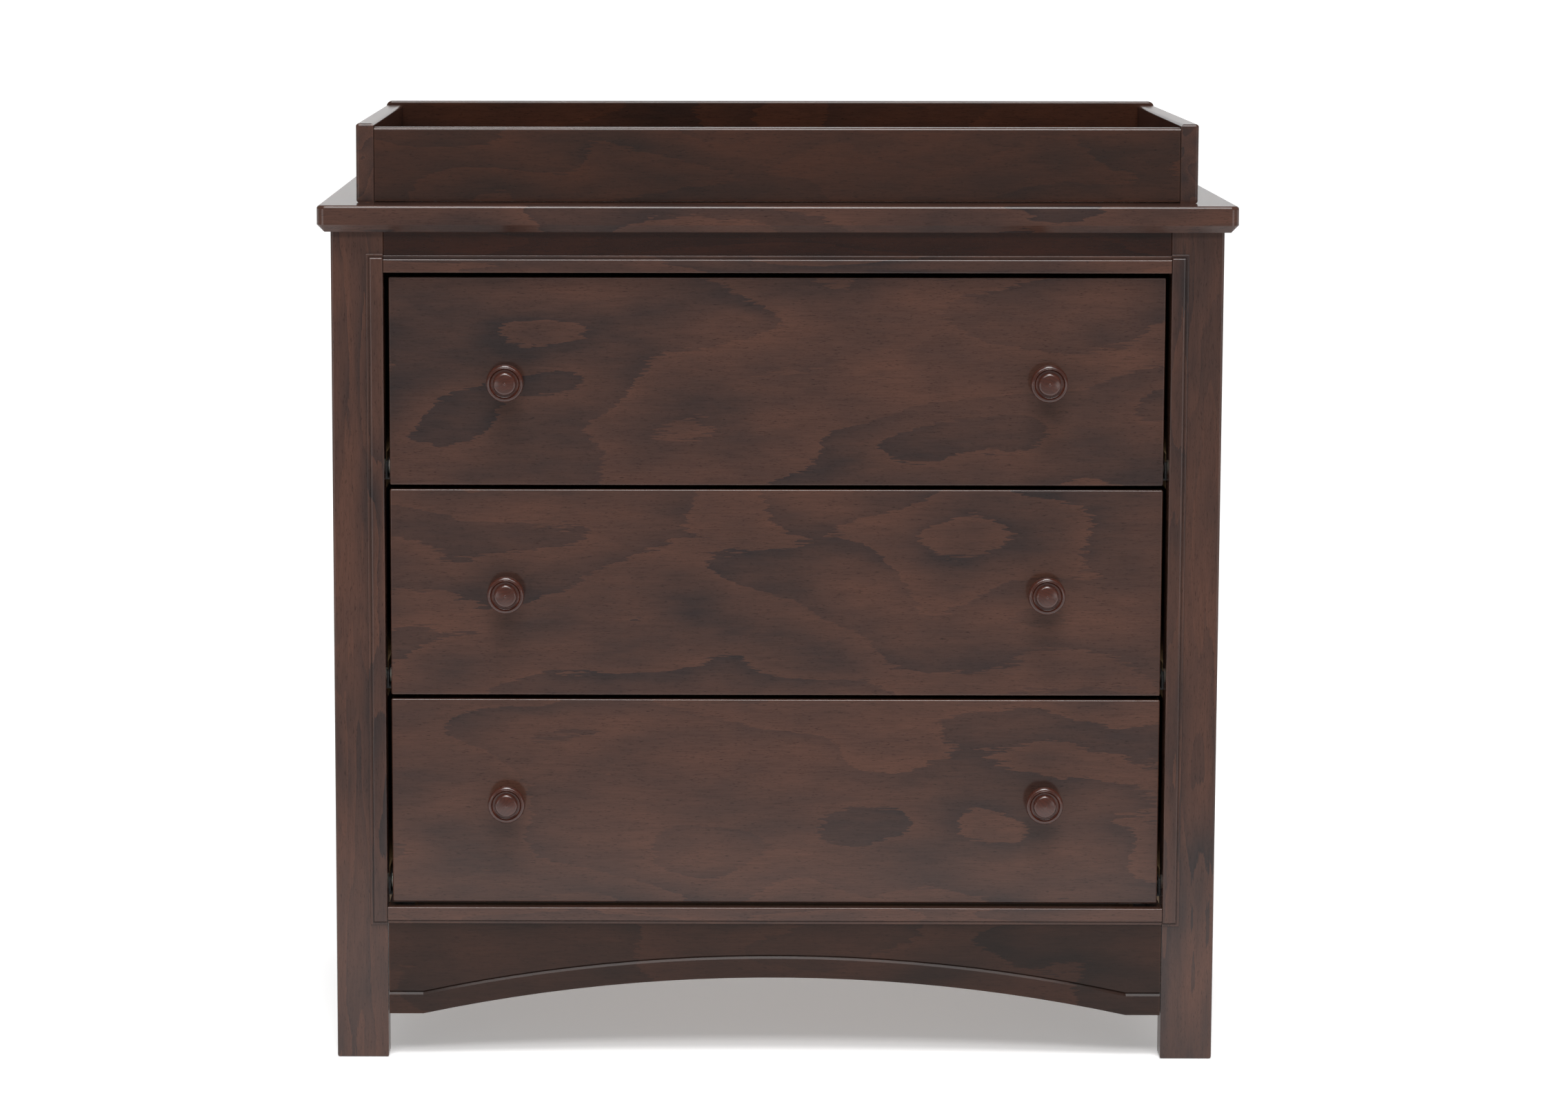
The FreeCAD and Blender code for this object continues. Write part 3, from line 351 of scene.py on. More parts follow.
        # The board's name gives its number, so that every run cuts the same boards.
        seed = sum(ord(letter) * (index + 3) for index, letter in enumerate(node)) % 97 / 7.0
        wear(node, self.board(node, grain, seed))


# Rubberwood veneer, peeled from a turning log, under a dark walnut stain and a satin lacquer. The
# eye sees large flat islands of brown and grey-brown with one sharp side each, and short pores.
VENEERED = WoodFinish(
    title="walnut_stained_veneer", warm="#51362c", cool="#2c2322", pore="#120a08", edge_highlight="#6a4634",
    figure_mm=230.0, slimness=2.2, bands=7.0, figure_depth=0.4, fibre_depth=0.4, pore_depth=0.6,
    wear=0.12, rough_low=0.4, rough_high=0.52, gloss=0.0, coat=0.7, coat_rough=0.14)

# Solid rubberwood with the same finish. Its figure is drawn out into long straight bands.
STAINED = replace(VENEERED, title="walnut_stained_rubberwood", figure_mm=260.0, slimness=9.0,
                  bands=6.0, figure_depth=0.35)

# The tray's two long boards took the stain evenly: darker and redder than the drawers.
TRAY = replace(VENEERED, title="walnut_stained_tray_veneer", warm="#42271c", cool="#281c18",
               figure_depth=0.25)

# The apron took more of it and carries less lacquer: darker and duller than the drawers.
APRON = replace(VENEERED, title="walnut_stained_apron_veneer", warm="#38231b", cool="#201714",
                coat=0.35)

# The rails stand in the top's shade and took more of the stain: nearly black-brown. Part of that darkness
# is painted shade: the colour stands in for the shade that the top casts on the front rail.
RAIL_STAIN_AND_SHADE = replace(STAINED, title="dark_stained_rubberwood", warm="#351a10", cool="#1f100c")

# Unstained rubberwood with a thin clear lacquer. It looks pale straw, with short darker pores.
CLEAR = replace(STAINED, title="clear_lacquered_rubberwood", warm="#d3b083", cool="#bb986c",
                pore="#8a6a45", edge_highlight="#e0c49b", wear=0.15, rough_low=0.45, rough_high=0.6, gloss=0.4,
                coat=0.1, coat_rough=0.4)


@dataclass(frozen=True)
class TurnedWood:
    """Rubberwood knobs turned on a lathe, stained and dipped in lacquer.

    The fibres run out of the drawer, so the face is end grain: redder and darker, with fine rings,
    and the thicker lacquer gives brighter and smaller highlights than on the boards.
    """

    title: str = "walnut_stained_turned_rubberwood"
    warm: str = "#4c2418"
    cool: str = "#321a14"
    blotch_mm: float = 11.0
    ring_mm: float = 3.2
    ring_sway: float = 0.012
    speck_mm: float = 1.1
    speck: str = "#20140f"

    def material(self) -> Material:
        """Make the material of the knobs.

        Returns:
            The material.
        """
        material, tree, place = new_material(self.title)
        blotch = add_node(tree, "ShaderNodeTexNoise", {"Scale": 1 / (self.blotch_mm * MM), "Detail": 4.0},
                          {"Vector": place})
        stain = add_node(tree, "ShaderNodeMix",
                         {"data_type": "RGBA", MIX_A: colour(self.cool), MIX_B: colour(self.warm)},
                         {MIX_FACTOR: blotch.outputs["Fac"]})
        moved = add_node(tree, "ShaderNodeVectorMath",
                         {"operation": "MULTIPLY_ADD", 1: (self.ring_sway,) * 3},
                         {0: blotch.outputs["Color"], 2: place})
        # At a scale of one, the node draws its rings a twentieth of a full turn apart.
        period = math.tau / 20
        ring = add_node(tree, "ShaderNodeTexWave",
                        {"wave_type": "RINGS", "rings_direction": "Y",
                         "Scale": period / (self.ring_mm * MM), "Distortion": 1.5, "Detail": 2.0},
                        {"Vector": moved.outputs["Vector"]})
        ring_shade = add_node(tree, "ShaderNodeValToRGB",
                              {"stops": [(0.0, "#b4b4b4"), (0.6, "#ffffff")]},
                              {"Fac": ring.outputs["Fac"]})
        ringed = add_node(tree, "ShaderNodeMix",
                          {"data_type": "RGBA", "blend_type": "MULTIPLY", MIX_FACTOR: 0.5},
                          {MIX_A: stain.outputs[MIX_COLOUR], MIX_B: ring_shade.outputs["Color"]})
        specks = add_node(tree, "ShaderNodeTexVoronoi", {"Scale": 1 / (self.speck_mm * MM)},
                          {"Vector": place})
        pores = add_node(tree, "ShaderNodeMapRange",
                         {"From Min": 0.1, "From Max": 0.3, "To Min": 0.45, "To Max": 0.0},
                         {"Value": specks.outputs["Distance"]})
        shade = add_node(tree, "ShaderNodeMix", {"data_type": "RGBA", MIX_B: colour(self.speck)},
                         {MIX_FACTOR: pores.outputs["Result"], MIX_A: ringed.outputs[MIX_COLOUR]})
        rough = add_node(tree, "ShaderNodeMapRange",
                         {"From Min": 0.3, "From Max": 0.7, "To Min": 0.38, "To Max": 0.28},
                         {"Value": blotch.outputs["Fac"]})
        bump = add_node(tree, "ShaderNodeBump", {"Strength": 0.15, "Distance": RELIEF},
                        {"Height": ring.outputs["Fac"]})
        close_material(tree,
                       {"IOR": 1.5, "Specular IOR Level": 0.1, "Coat Weight": 1.0,
                        "Coat Roughness": 0.2},
                       {"Base Color": shade.outputs[MIX_COLOUR], "Roughness": rough.outputs["Result"],
                        "Normal": bump.outputs["Normal"]})
        return material


@dataclass(frozen=True)
class Hardboard:
    """Pressed wood fibre, smooth on the face: mid brown, with darker and paler fibres in it."""

    title: str = "hardboard"
    base: str = "#7d5c40"
    dark: str = "#5d4029"
    fleck: str = "#a58560"
    cloud_mm: float = 60.0
    fibre_mm: float = 1.8

    def material(self) -> Material:
        """Make the material of the drawer bottoms and the back panel.

        Returns:
            The material.
        """
        material, tree, place = new_material(self.title)
        cloud = add_node(tree, "ShaderNodeTexNoise", {"Scale": 1 / (self.cloud_mm * MM), "Detail": 5.0},
                         {"Vector": place})
        body = add_node(tree, "ShaderNodeMix",
                        {"data_type": "RGBA", MIX_A: colour(self.dark), MIX_B: colour(self.base)},
                        {MIX_FACTOR: cloud.outputs["Fac"]})
        fibres = add_node(tree, "ShaderNodeTexNoise",
                          {"Scale": 1 / (self.fibre_mm * MM), "Detail": 3.0, "Distortion": 2.5},
                          {"Vector": place})
        flecks = add_node(tree, "ShaderNodeMapRange",
                          {"From Min": 0.52, "From Max": 0.72, "To Min": 0.0, "To Max": 0.6},
                          {"Value": fibres.outputs["Fac"]})
        shade = add_node(tree, "ShaderNodeMix", {"data_type": "RGBA", MIX_B: colour(self.fleck)},
                         {MIX_FACTOR: flecks.outputs["Result"], MIX_A: body.outputs[MIX_COLOUR]})
        rough = add_node(tree, "ShaderNodeMapRange",
                         {"From Min": 0.3, "From Max": 0.7, "To Min": 0.5, "To Max": 0.68},
                         {"Value": fibres.outputs["Fac"]})
        bump = add_node(tree, "ShaderNodeBump", {"Strength": 0.3, "Distance": 2 * RELIEF},
                        {"Height": fibres.outputs["Fac"]})
        close_material(tree, {"IOR": 1.48},
                       {"Base Color": shade.outputs[MIX_COLOUR], "Roughness": rough.outputs["Result"],
                        "Normal": bump.outputs["Normal"]})
        return material


@dataclass(frozen=True)
class CoatedSteel:
    """Sheet steel with a baked coating.

    The coating leaves a faint orange peel, and whatever runs along it rubs grey lines into it.
    """

    title: str
    base: str
    rubbed: str
    rough: float
    peel_mm: float
    peel_depth: float
    rub_and_highlight_mm: tuple[float, float] = (160.0, 1.6)

    def material(self) -> Material:
        """Make the material.

        Returns:
            The material.
        """
        material, tree, place = new_material(self.title)
        turned = add_node(tree, "ShaderNodeMapping", {"Rotation": tuple(Grain.ALONG_Y.turn())},
                          {"Vector": place})
        rub_and_highlight = drawn_out(tree, turned.outputs["Vector"], 2.0, *self.rub_and_highlight_mm, 3.0)
        rub_share = add_node(tree, "ShaderNodeMapRange",
                             {"From Min": 0.5, "From Max": 0.75, "To Min": 0.0, "To Max": 0.7},
                             {"Value": rub_and_highlight})
        shade = add_node(tree, "ShaderNodeMix",
                         {"data_type": "RGBA", MIX_A: colour(self.base), MIX_B: colour(self.rubbed)},
                         {MIX_FACTOR: rub_share.outputs["Result"]})
        peel = add_node(tree, "ShaderNodeTexNoise", {"Scale": 1 / (self.peel_mm * MM), "Detail": 2.0},
                        {"Vector": place})
        rough = add_node(tree, "ShaderNodeMapRange",
                         {"From Min": 0.3, "From Max": 0.7, "To Min": self.rough - 0.05,
                          "To Max": self.rough + 0.08},
                         {"Value": peel.outputs["Fac"]})
        bump = add_node(tree, "ShaderNodeBump", {"Strength": self.peel_depth, "Distance": RELIEF},
                        {"Height": peel.outputs["Fac"]})
        close_material(tree, {"IOR": 1.5},
                       {"Base Color": shade.outputs[MIX_COLOUR], "Roughness": rough.outputs["Result"],
                        "Normal": bump.outputs["Normal"]})
        return material


# Roller slides in a baked dark grey coat: slightly glossy, rubbed paler where the rollers run. The dark
# grey is partly painted shade: it stands in for the shade inside the side gaps, where the slides show.
GREY_COAT_AND_SHADE = CoatedSteel("grey_coated_steel_with_painted_shade", "#3a3a3b", "#6a6967", 0.36, 1.4, 0.25)
# Brackets in black powder coat: near black, with a fine dry texture.
BLACK_POWDER = CoatedSteel("black_powder_coated_steel", "#1c1c1e", "#3a393a", 0.52, 0.7, 0.5)


@dataclass(frozen=True)
class MouldedNylon:
    """Injection-moulded white nylon: milky, faintly translucent and a little waxy."""

    title: str = "moulded_nylon"
    base: str = "#e7e4d8"
    shadow: str = "#cfcbbd"
    cloud_mm: float = 4.0

    def material(self) -> Material:
        """Make the material of the rollers.

        Returns:
            The material.
        """
        material, tree, place = new_material(self.title)
        cloud = add_node(tree, "ShaderNodeTexNoise", {"Scale": 1 / (self.cloud_mm * MM), "Detail": 3.0},
                         {"Vector": place})
        shade = add_node(tree, "ShaderNodeMix",
                         {"data_type": "RGBA", MIX_A: colour(self.shadow), MIX_B: colour(self.base)},
                         {MIX_FACTOR: cloud.outputs["Fac"]})
        rough = add_node(tree, "ShaderNodeMapRange",
                         {"From Min": 0.3, "From Max": 0.7, "To Min": 0.38, "To Max": 0.5},
                         {"Value": cloud.outputs["Fac"]})
        bump = add_node(tree, "ShaderNodeBump", {"Strength": 0.1, "Distance": RELIEF},
                        {"Height": cloud.outputs["Fac"]})
        close_material(tree, {"IOR": 1.53, "Subsurface Weight": 0.15, "Subsurface Scale": 0.002},
                       {"Base Color": shade.outputs[MIX_COLOUR], "Roughness": rough.outputs["Result"],
                        "Normal": bump.outputs["Normal"]})
        return material


@dataclass(frozen=True)
class ZincPlate:
    """Bright zinc on steel screws: light grey metal with a faint warm tarnish."""

    title: str = "zinc_plated_steel"
    bright: str = "#c9c8c2"
    dull: str = "#a19c8e"
    cloud_mm: float = 1.5

    def material(self) -> Material:
        """Make the material of the screws.

        Returns:
            The material.
        """
        material, tree, place = new_material(self.title)
        cloud = add_node(tree, "ShaderNodeTexNoise", {"Scale": 1 / (self.cloud_mm * MM), "Detail": 4.0},
                         {"Vector": place})
        shade = add_node(tree, "ShaderNodeMix",
                         {"data_type": "RGBA", MIX_A: colour(self.dull), MIX_B: colour(self.bright)},
                         {MIX_FACTOR: cloud.outputs["Fac"]})
        rough = add_node(tree, "ShaderNodeMapRange",
                         {"From Min": 0.3, "From Max": 0.7, "To Min": 0.42, "To Max": 0.26},
                         {"Value": cloud.outputs["Fac"]})
        bump = add_node(tree, "ShaderNodeBump", {"Strength": 0.1, "Distance": RELIEF / 2},
                        {"Height": cloud.outputs["Fac"]})
        close_material(tree, {"Metallic": 1.0},
                       {"Base Color": shade.outputs[MIX_COLOUR], "Roughness": rough.outputs["Result"],
                        "Normal": bump.outputs["Normal"]})
        return material


def wear(node: str, material: Material) -> None:
    """Put a material on a CAD node.

    Args:
        node: the node's name.
        material: what it wears.
    """
    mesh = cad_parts[node].data
    mesh.materials.clear()
    mesh.materials.append(material)


# ---------------------------------------------------------------- new pieces

def solid_boxes(node: str) -> list[tuple[Vector, Vector]]:
    """Find the separate solids of a CAD node.

    Args:
        node: the node's name.

    Returns:
        The lowest and highest corner of each solid, in order.
    """
    work = bmesh.new()
    work.from_mesh(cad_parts[node].data)
    bmesh.ops.remove_doubles(work, verts=work.verts, dist=1e-6)
    left = set(work.verts)
    boxes = []
    while left:
        start = left.pop()
        island = {start}
        front = [start]
        while front:
            for edge in front.pop().link_edges:
                for vert in edge.verts:
                    if vert in left:
                        left.discard(vert)
                        island.add(vert)
                        front.append(vert)
        corners = [[pick(vert.co[axis] for vert in island) for axis in range(3)] for pick in (min, max)]
        boxes.append((Vector(corners[0]), Vector(corners[1])))
    work.free()
    return sorted(boxes, key=lambda box: tuple(round(value, 4) for value in box[0]))


def finished_piece(work: bmesh.types.BMesh, name: str, body: str,
                   material: Material, smooth_angle: float = 35.0) -> bpy.types.Object:
    """Turn a bmesh into a piece of the object.

    Args:
        work: the finished bmesh; it is freed.
        name: the piece's name.
        body: the CAD body that it rides on.
        material: what it wears.
        smooth_angle: faces that meet at less than this many degrees are shaded smooth.

    Returns:
        The piece.
    """
    bmesh.ops.remove_doubles(work, verts=work.verts, dist=1e-7)
    bmesh.ops.recalc_face_normals(work, faces=work.faces)
    for face in work.faces:
        face.smooth = True
    for edge in work.edges:
        edge.smooth = len(edge.link_faces) == 2 and edge.calc_face_angle() < math.radians(smooth_angle)
    mesh = bpy.data.meshes.new(name)
    work.to_mesh(mesh)
    work.free()
    mesh.materials.append(material)
    piece = bpy.data.objects.new(name, mesh)
    bpy.context.scene.collection.objects.link(piece)
    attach(piece, body)
    log.info("%s: %d faces", name, len(mesh.polygons))
    return piece


def spun(profile: list[tuple[float, float]], steps: int) -> bmesh.types.BMesh:
    """Spin a half profile round Z into a closed solid.

    Args:
        profile: radius and height of each corner in millimetres, from axis to axis.
        steps: faces round the axis.

    Returns:
        A bmesh with the solid.
    """
    work = bmesh.new()
    verts = [work.verts.new((radius * MM, 0.0, height * MM)) for radius, height in profile]
    edges = [work.edges.new(pair) for pair in zip(verts, verts[1:])]
    bmesh.ops.spin(work, geom=verts + edges, cent=(0, 0, 0), axis=(0, 0, 1), angle=math.tau,
                   steps=steps, use_merge=True)
    bmesh.ops.remove_doubles(work, verts=work.verts, dist=1e-7)
    bmesh.ops.recalc_face_normals(work, faces=work.faces)
    return work


def repeated(shape: bmesh.types.BMesh, places: list[Matrix]) -> bmesh.types.BMesh:
    """Put copies of a shape in several places.

    Args:
        shape: the shape; it is freed.
        places: where the copies go.

    Returns:
        A bmesh with all copies.
    """
    mesh = bpy.data.meshes.new("shape")
    shape.to_mesh(mesh)
    shape.free()
    work = bmesh.new()
    for place in places:
        count = len(work.verts)
        work.from_mesh(mesh)
        work.verts.ensure_lookup_table()
        bmesh.ops.transform(work, matrix=place, verts=work.verts[count:])
    bpy.data.meshes.remove(mesh)
    return work


@dataclass(frozen=True)
class CrossScrews:
    """A node's screws, with round shoulders and a cross in each head, driven towards -Y.

    Sizes are in millimetres, and the head and the length come from the CAD screw.
    """

    node: str
    body: str
    head_tall: float = 2.2
    shoulder: float = 0.6
    point: float = 4.0
    shank: float = 2.0
    cross: float = 2.1
    core: float = 0.6
    deep: float = 1.2
    taper: float = 0.6
    turned_on: float = 37.0
    steps: int = 32
    shoulder_steps: int = 5

    def shape(self, head: float, long: float) -> bmesh.types.BMesh:
        """Make one screw with its seat at Z = 0.

        Args:
            head: radius of the head in millimetres.
            long: length under the head in millimetres.

        Returns:
            A bmesh with the screw.
        """
        flat = min(head - 1.0, self.cross + 0.2)
        drop = self.head_tall * self.shoulder
        shoulder = [(flat + (head - flat) * math.sin(turn), self.head_tall - drop * (1 - math.cos(turn)))
                    for turn in (math.pi / 2 * index / self.shoulder_steps
                                 for index in range(self.shoulder_steps + 1))]
        work = spun([(0.0, self.head_tall), (self.core, self.head_tall), (self.cross, self.head_tall),
                     *shoulder, (head, 0.0), (self.shank, 0.0), (self.shank, self.point - long),
                     (0.0, -long)], self.steps)
        sunk = [face for face in work.faces if self.in_cross(face.calc_center_median())]
        made = bmesh.ops.extrude_face_region(work, geom=sunk)["geom"]
        floor = [item for item in made if isinstance(item, bmesh.types.BMVert)]
        bmesh.ops.translate(work, verts=floor, vec=(0, 0, -self.deep * MM))
        bmesh.ops.scale(work, verts=floor, vec=(self.taper, self.taper, 1.0))
        bmesh.ops.delete(work, geom=[face for face in sunk if face.is_valid], context="FACES")
        return work

    def in_cross(self, middle: Vector) -> bool:
        """Whether a face of the flat top belongs to the cross.

        Args:
            middle: the face's middle.

        Returns:
            True inside the core and on four arms.
        """
        away = math.hypot(middle.x, middle.y) / MM
        quarter = math.degrees(math.atan2(middle.y, middle.x)) % 90
        on_arm = min(quarter, 90 - quarter) < 360 / self.steps
        return middle.z / MM > self.head_tall - 0.01 and (away < self.core or on_arm and away < self.cross)

    def build(self, zinc: Material) -> None:
        """Make the screws in place of the node's plain ones.

        Args:
            zinc: what they wear.
        """
        boxes = solid_boxes(self.node)
        places = []
        for index, (low, high) in enumerate(boxes):
            middle = (low + high) / 2
            seat = Vector((middle.x, high.y - self.head_tall * MM, middle.z))
            places.append(Matrix.Translation(seat) @ Matrix.Rotation(-math.pi / 2, 4, "X")
                          @ Matrix.Rotation(math.radians(self.turned_on * index), 4, "Z"))
        size = (boxes[-1][1] - boxes[-1][0]) / MM
        shape = self.shape(size.x / 2, size.y - self.head_tall)
        piece = finished_piece(repeated(shape, places), f"{self.node}_crossed", self.body,
                               zinc)
        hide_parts(self.node)


@dataclass(frozen=True)
class NylonRollers:
    """A node's pair of rollers, each with a raised rim and hub and a thin web between.

    Sizes are in millimetres, and the web's is its share of the roller's width.
    """

    node: str
    body: str
    rim: float = 1.7
    hub: float = 3.2
    bore: float = 1.4
    hub_slope: float = 0.4
    rim_slope: float = 0.3
    web: float = 0.36
    ease: float = 0.5
    steps: int = 48

    def shape(self, radius: float, half: float) -> bmesh.types.BMesh:
        """Make one roller round Z.

        Args:
            radius: its radius in millimetres.
            half: half its width in millimetres.

        Returns:
            A bmesh with the roller.
        """
        web = half * self.web
        side = [(0.0, web), (self.bore, web), (self.bore, half), (self.hub, half),
                (self.hub + self.hub_slope, web), (radius - self.rim, web),
                (radius - self.rim + self.rim_slope, half), (radius - self.ease, half),
                (radius, half - self.ease)]
        return spun(side + [(out, -up) for out, up in reversed(side)], self.steps)

    def build(self, nylon: Material) -> None:
        """Make the rollers in place of the node's plain ones.

        Args:
            nylon: what they wear.
        """
        boxes = solid_boxes(self.node)
        places = [Matrix.Translation((low + high) / 2) @ Matrix.Rotation(math.pi / 2, 4, "Y")
                  for low, high in boxes]
        size = (boxes[0][1] - boxes[0][0]) / MM
        piece = finished_piece(repeated(self.shape(size.y / 2, size.x / 2), places),
                               f"{self.node}_moulded", self.body, nylon)
        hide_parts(self.node)


@dataclass
class Carcass:
    """The dresser's frame, panels, top and mouldings."""

    veneered_level: tuple[str, ...] = ("dresser_top",)
    veneered_upright: tuple[str, ...] = ("left_side_panel", "right_side_panel")
    solid_level: tuple[str, ...] = ("top_rail_moulding", "apron_moulding")
    rails: tuple[str, ...] = ("front_top_rail", "rear_top_rail", "rear_bottom_rail")
    solid_upright: tuple[str, ...] = ("front_left_post", "front_right_post", "rear_left_post",
                                      "rear_right_post", "left_post_moulding", "right_post_moulding")

    def build(self, hardboard: Material, zinc: Material) -> None:
        """Dress the carcass.

        Args:
            hardboard: the back panel's material.
            zinc: the screws' material.
        """
        for finish, nodes, grain in ((VENEERED, self.veneered_level, Grain.ALONG_X),
                                     (APRON, ("apron",), Grain.ALONG_X),
                                     (VENEERED, self.veneered_upright, Grain.ALONG_Z),
                                     (STAINED, self.solid_level, Grain.ALONG_X),
                                     (RAIL_STAIN_AND_SHADE, self.rails, Grain.ALONG_X),
                                     (STAINED, self.solid_upright, Grain.ALONG_Z)):
            for node in nodes:
                finish.dress(node, grain)
        CLEAR.dress("runner_cleats", Grain.ALONG_Y)
        wear("back_panel", hardboard)
        CrossScrews("rear_screws", "carcass").build(zinc)
        log.info("carcass dressed")


@dataclass
class Drawer:
    """One drawer: front, box, knobs and roller slides."""

    word: str

    def build(self, turned: Material, hardboard: Material, coated: Material, nylon: Material,
              zinc: Material) -> None:
        """Dress the drawer.

        Args:
            turned: the knobs' material.
            hardboard: the bottom's material.
            coated: the slides' material.
            nylon: the rollers' material.
            zinc: the screws' material.
        """
        name = f"{self.word}_drawer"
        VENEERED.dress(f"{name}_front", Grain.ALONG_X)
        CLEAR.dress(f"{name}_left_side", Grain.ALONG_Y)
        CLEAR.dress(f"{name}_right_side", Grain.ALONG_Y)
        CLEAR.dress(f"{name}_back", Grain.ALONG_X)
        wear(f"{name}_bottom", hardboard)
        wear(f"{name}_left_knob", turned)
        wear(f"{name}_right_knob", turned)
        wear(f"{name}_slides", coated)
        wear(f"{name}_runners", coated)
        CrossScrews(f"{name}_knob_screws", name).build(zinc)
        for end in ("front", "rear"):
            NylonRollers(f"{name}_{end}_rollers", f"{self.word}_{end}_rollers").build(nylon)
        log.info("%s dressed", name)


@dataclass
class ChangingTray:
    """The four boards of the tray and the brackets that hold it."""

    level_boards: tuple[str, ...] = ("tray_front_board", "tray_rear_board")
    side_boards: tuple[str, ...] = ("tray_left_board", "tray_right_board")

    def build(self, powder: Material, zinc: Material) -> None:
        """Dress the tray.

        Args:
            powder: the brackets' material.
            zinc: the screws' material.
        """
        for node in self.level_boards:
            TRAY.dress(node, Grain.ALONG_X)
        for node in self.side_boards:
            STAINED.dress(node, Grain.ALONG_Y)
        wear("tray_brackets", powder)
        CrossScrews("tray_screws", "tray").build(zinc)
        log.info("changing tray dressed")


# ---------------------------------------------------------------- studio

@dataclass(frozen=True)
class Softbox:
    """A soft rectangular light."""

    name: str
    place: tuple[float, float, float]
    target: tuple[float, float, float]
    width: float
    height: float
    watts: float

    def build(self) -> None:
        """Hang the light and point it at its target."""
        data = bpy.data.lights.new(self.name, "AREA")
        data.shape = "RECTANGLE"
        data.size = self.width
        data.size_y = self.height
        data.energy = self.watts
        light = bpy.data.objects.new(self.name, data)
        light.location = self.place
        aim = Vector(self.target) - Vector(self.place)
        light.rotation_euler = aim.to_track_quat("-Z", "Y").to_euler()
        light.visible_camera = False
        bpy.context.scene.collection.objects.link(light)


@dataclass(frozen=True)
class SoftSun:
    """Light that falls evenly on the whole floor, as through a large diffuse roof."""

    name: str
    from_front: float
    spread: float
    strength: float

    def build(self) -> None:
        """Hang the light, so many degrees in front of straight overhead."""
        data = bpy.data.lights.new(self.name, "SUN")
        data.energy = self.strength
        data.angle = math.radians(self.spread)
        light = bpy.data.objects.new(self.name, data)
        light.rotation_euler = (math.radians(self.from_front), 0.0, 0.0)
        bpy.context.scene.collection.objects.link(light)


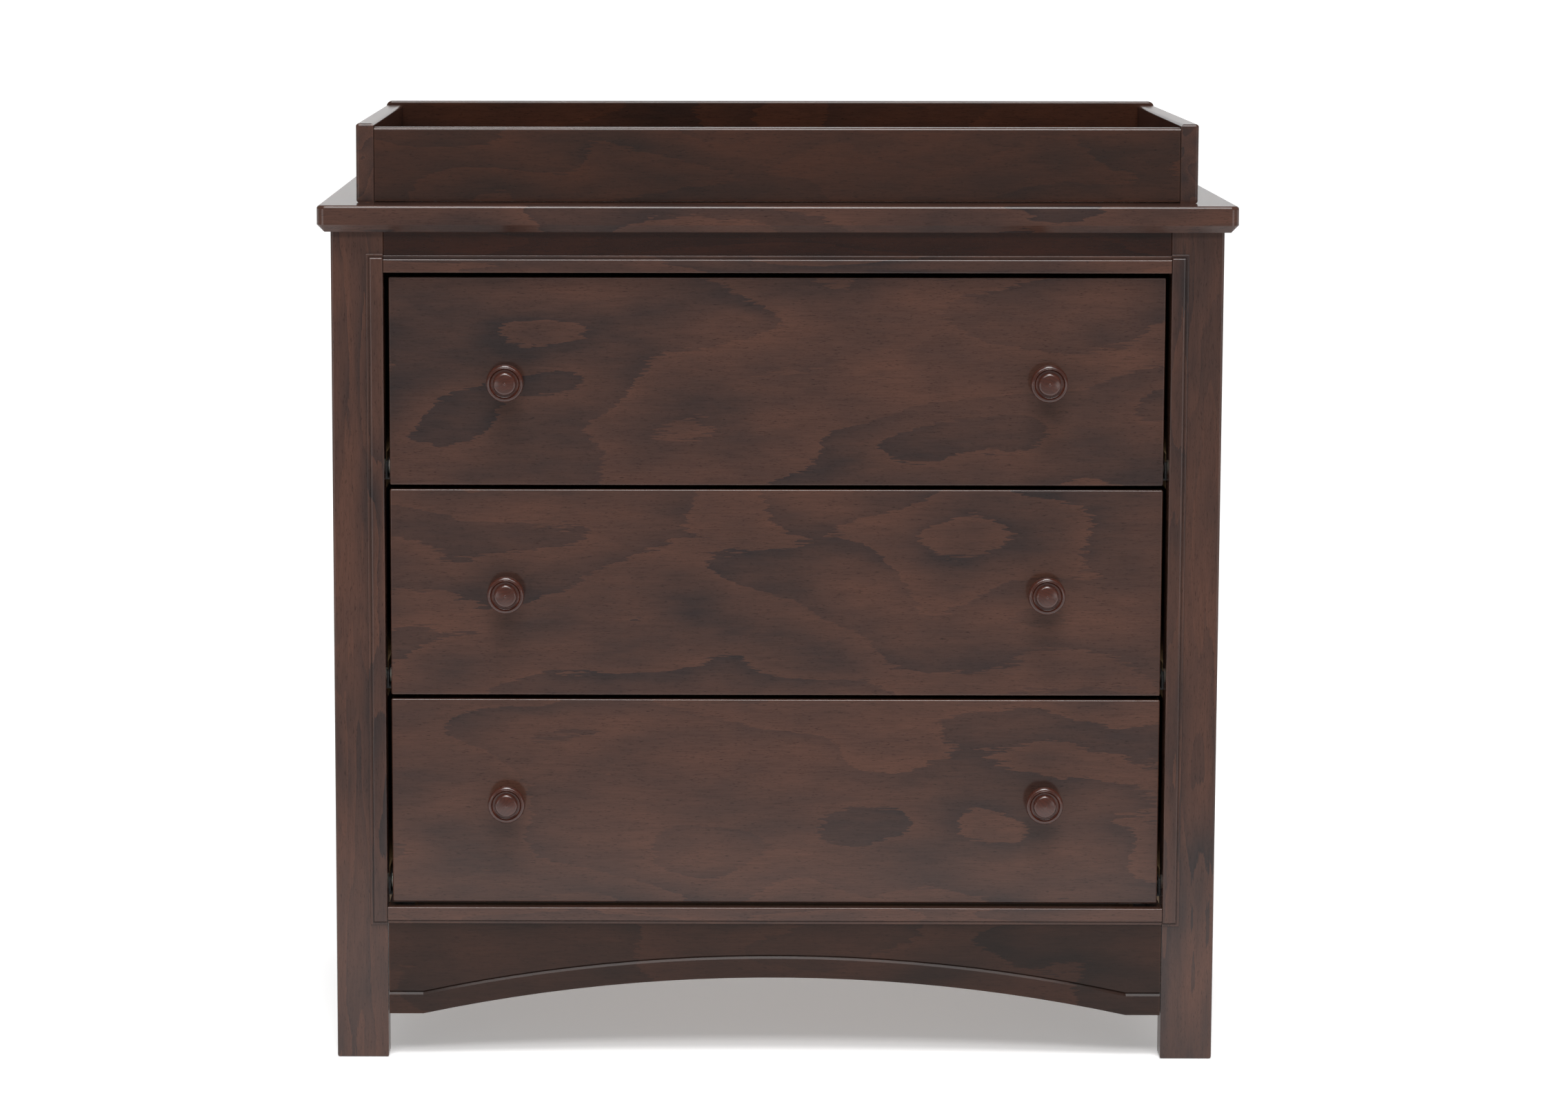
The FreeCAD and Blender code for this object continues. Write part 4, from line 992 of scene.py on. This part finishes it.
@dataclass
class Studio:
    """A plain pale floor, soft light and the camera."""

    floor_half: float = 120.0
    floor_shade: str = "#f2f2f2"
    floor_glow: float = 0.35
    front_shade: str = "#9e9e9e"
    fade_from: float = 0.55
    fade_to: float = 1.8
    sky_shade: str = "#ffffff"
    sky_strength: float = 0.25
    wall_away: float = 100.0
    wall_glow: float = 0.1
    lens: float = 97.55
    shift: tuple[float, float] = (0.075, -0.075)
    eye: tuple[float, float, float] = (-0.0809, -4.5072, 1.1723)
    turn_left: float = 0.00719
    look_down: float = 0.12371
    lean: float = 0.00066
    lights: tuple[Softbox | SoftSun, ...] = (
        SoftSun("roof_light", 22.0, 24.0, 2.35),
        Softbox("high_front_softbox", (0.0, -2.6, 2.7), (0.0, -0.2, 0.6), 2.6, 0.8, 48.0),
        Softbox("low_left_softbox", (-1.8, -2.4, 0.3), (0.0, -0.2, 0.5), 1.0, 1.0, 7.0),
        Softbox("low_right_softbox", (1.8, -2.4, 0.3), (0.0, -0.2, 0.5), 1.0, 1.0, 7.0),
    )

    def floor(self) -> None:
        """Lay the floor: matt white, faintly lit from beneath, and greyer far in front."""
        material, tree, place = new_material("matt_white_table")
        away = add_node(tree, "ShaderNodeSeparateXYZ", links={0: place}).outputs[1]
        fade = add_node(tree, "ShaderNodeMapRange",
                        {"From Min": -self.fade_to, "From Max": -self.fade_from, "To Min": 0.0,
                         "To Max": 1.0, "interpolation_type": "SMOOTHSTEP"}, {"Value": away})
        shade = add_node(tree, "ShaderNodeMix",
                         {"data_type": "RGBA", MIX_A: colour(self.front_shade),
                          MIX_B: colour(self.floor_shade)}, {MIX_FACTOR: fade.outputs["Result"]})
        grain = add_node(tree, "ShaderNodeTexNoise", {"Scale": 1 / (3 * MM), "Detail": 2.0},
                         {"Vector": place})
        rough = add_node(tree, "ShaderNodeMapRange", {"To Min": 0.85, "To Max": 0.95},
                         {"Value": grain.outputs["Fac"]})
        close_material(tree, {"Specular IOR Level": 0.1, "Emission Strength": self.floor_glow},
                       {"Base Color": shade.outputs[MIX_COLOUR],
                        "Emission Color": shade.outputs[MIX_COLOUR],
                        "Roughness": rough.outputs["Result"]})
        self.sheet("studio_floor", self.floor_half, Matrix.Identity(4), material)

    def wall(self) -> None:
        """Stand a lit white wall far behind, which polished level faces reflect."""
        material, tree, _ = new_material("lit_white_wall")
        close_material(tree, {"Base Color": colour(self.floor_shade), "Emission Strength": self.wall_glow,
                              "Emission Color": colour(self.sky_shade)}, {})
        upright = Matrix.Translation((0.0, self.wall_away, 0.0)) @ Matrix.Rotation(math.pi / 2, 4, "X")
        self.sheet("studio_wall", self.wall_away, upright, material)

    def sheet(self, name: str, half: float, place: Matrix, material: Material) -> None:
        """Add a square sheet to the studio.

        Args:
            name: the sheet's name.
            half: half the length of its sides.
            place: where it goes.
            material: what it wears.
        """
        work = bmesh.new()
        bmesh.ops.create_grid(work, x_segments=2, y_segments=2, size=half, matrix=place)
        mesh = bpy.data.meshes.new(name)
        work.to_mesh(mesh)
        work.free()
        mesh.materials.append(material)
        sheet = bpy.data.objects.new(name, mesh)
        bpy.context.scene.collection.objects.link(sheet)

    def sky(self) -> None:
        """Fill the room with even light."""
        world = bpy.data.worlds.new("studio_light")
        world.use_nodes = True
        background = world.node_tree.nodes["Background"]
        background.inputs["Color"].default_value = colour(self.sky_shade)
        background.inputs["Strength"].default_value = self.sky_strength
        bpy.context.scene.world = world

    def camera(self) -> None:
        """Set the camera in front, a little above the tray and left of the middle."""
        data = bpy.data.cameras.new("camera")
        data.sensor_width = 36.0
        data.lens = self.lens
        data.shift_x, data.shift_y = self.shift
        data.clip_end = 500.0
        camera = bpy.data.objects.new("camera", data)
        turn = (Matrix.Rotation(self.turn_left, 4, "Z")
                @ Matrix.Rotation(math.pi / 2 - self.look_down, 4, "X")
                @ Matrix.Rotation(self.lean, 4, "Z"))
        camera.matrix_world = Matrix.Translation(self.eye) @ turn
        bpy.context.scene.collection.objects.link(camera)
        bpy.context.scene.camera = camera

    def build(self) -> None:
        """Set up the studio."""
        self.floor()
        self.wall()
        self.sky()
        self.camera()
        for light in self.lights:
            light.build()
        bpy.context.scene.view_settings.view_transform = "Standard"
        log.info("studio ready")


def main() -> None:
    """Build the looks of the whole table."""
    turned = TurnedWood().material()
    hardboard = Hardboard().material()
    coated = GREY_COAT_AND_SHADE.material()
    powder = BLACK_POWDER.material()
    nylon = MouldedNylon().material()
    zinc = ZincPlate().material()
    Carcass().build(hardboard, zinc)
    for word in LEVELS:
        Drawer(word).build(turned, hardboard, coated, nylon, zinc)
    ChangingTray().build(powder, zinc)
    Studio().build()


if __name__ == "__main__":
    main()
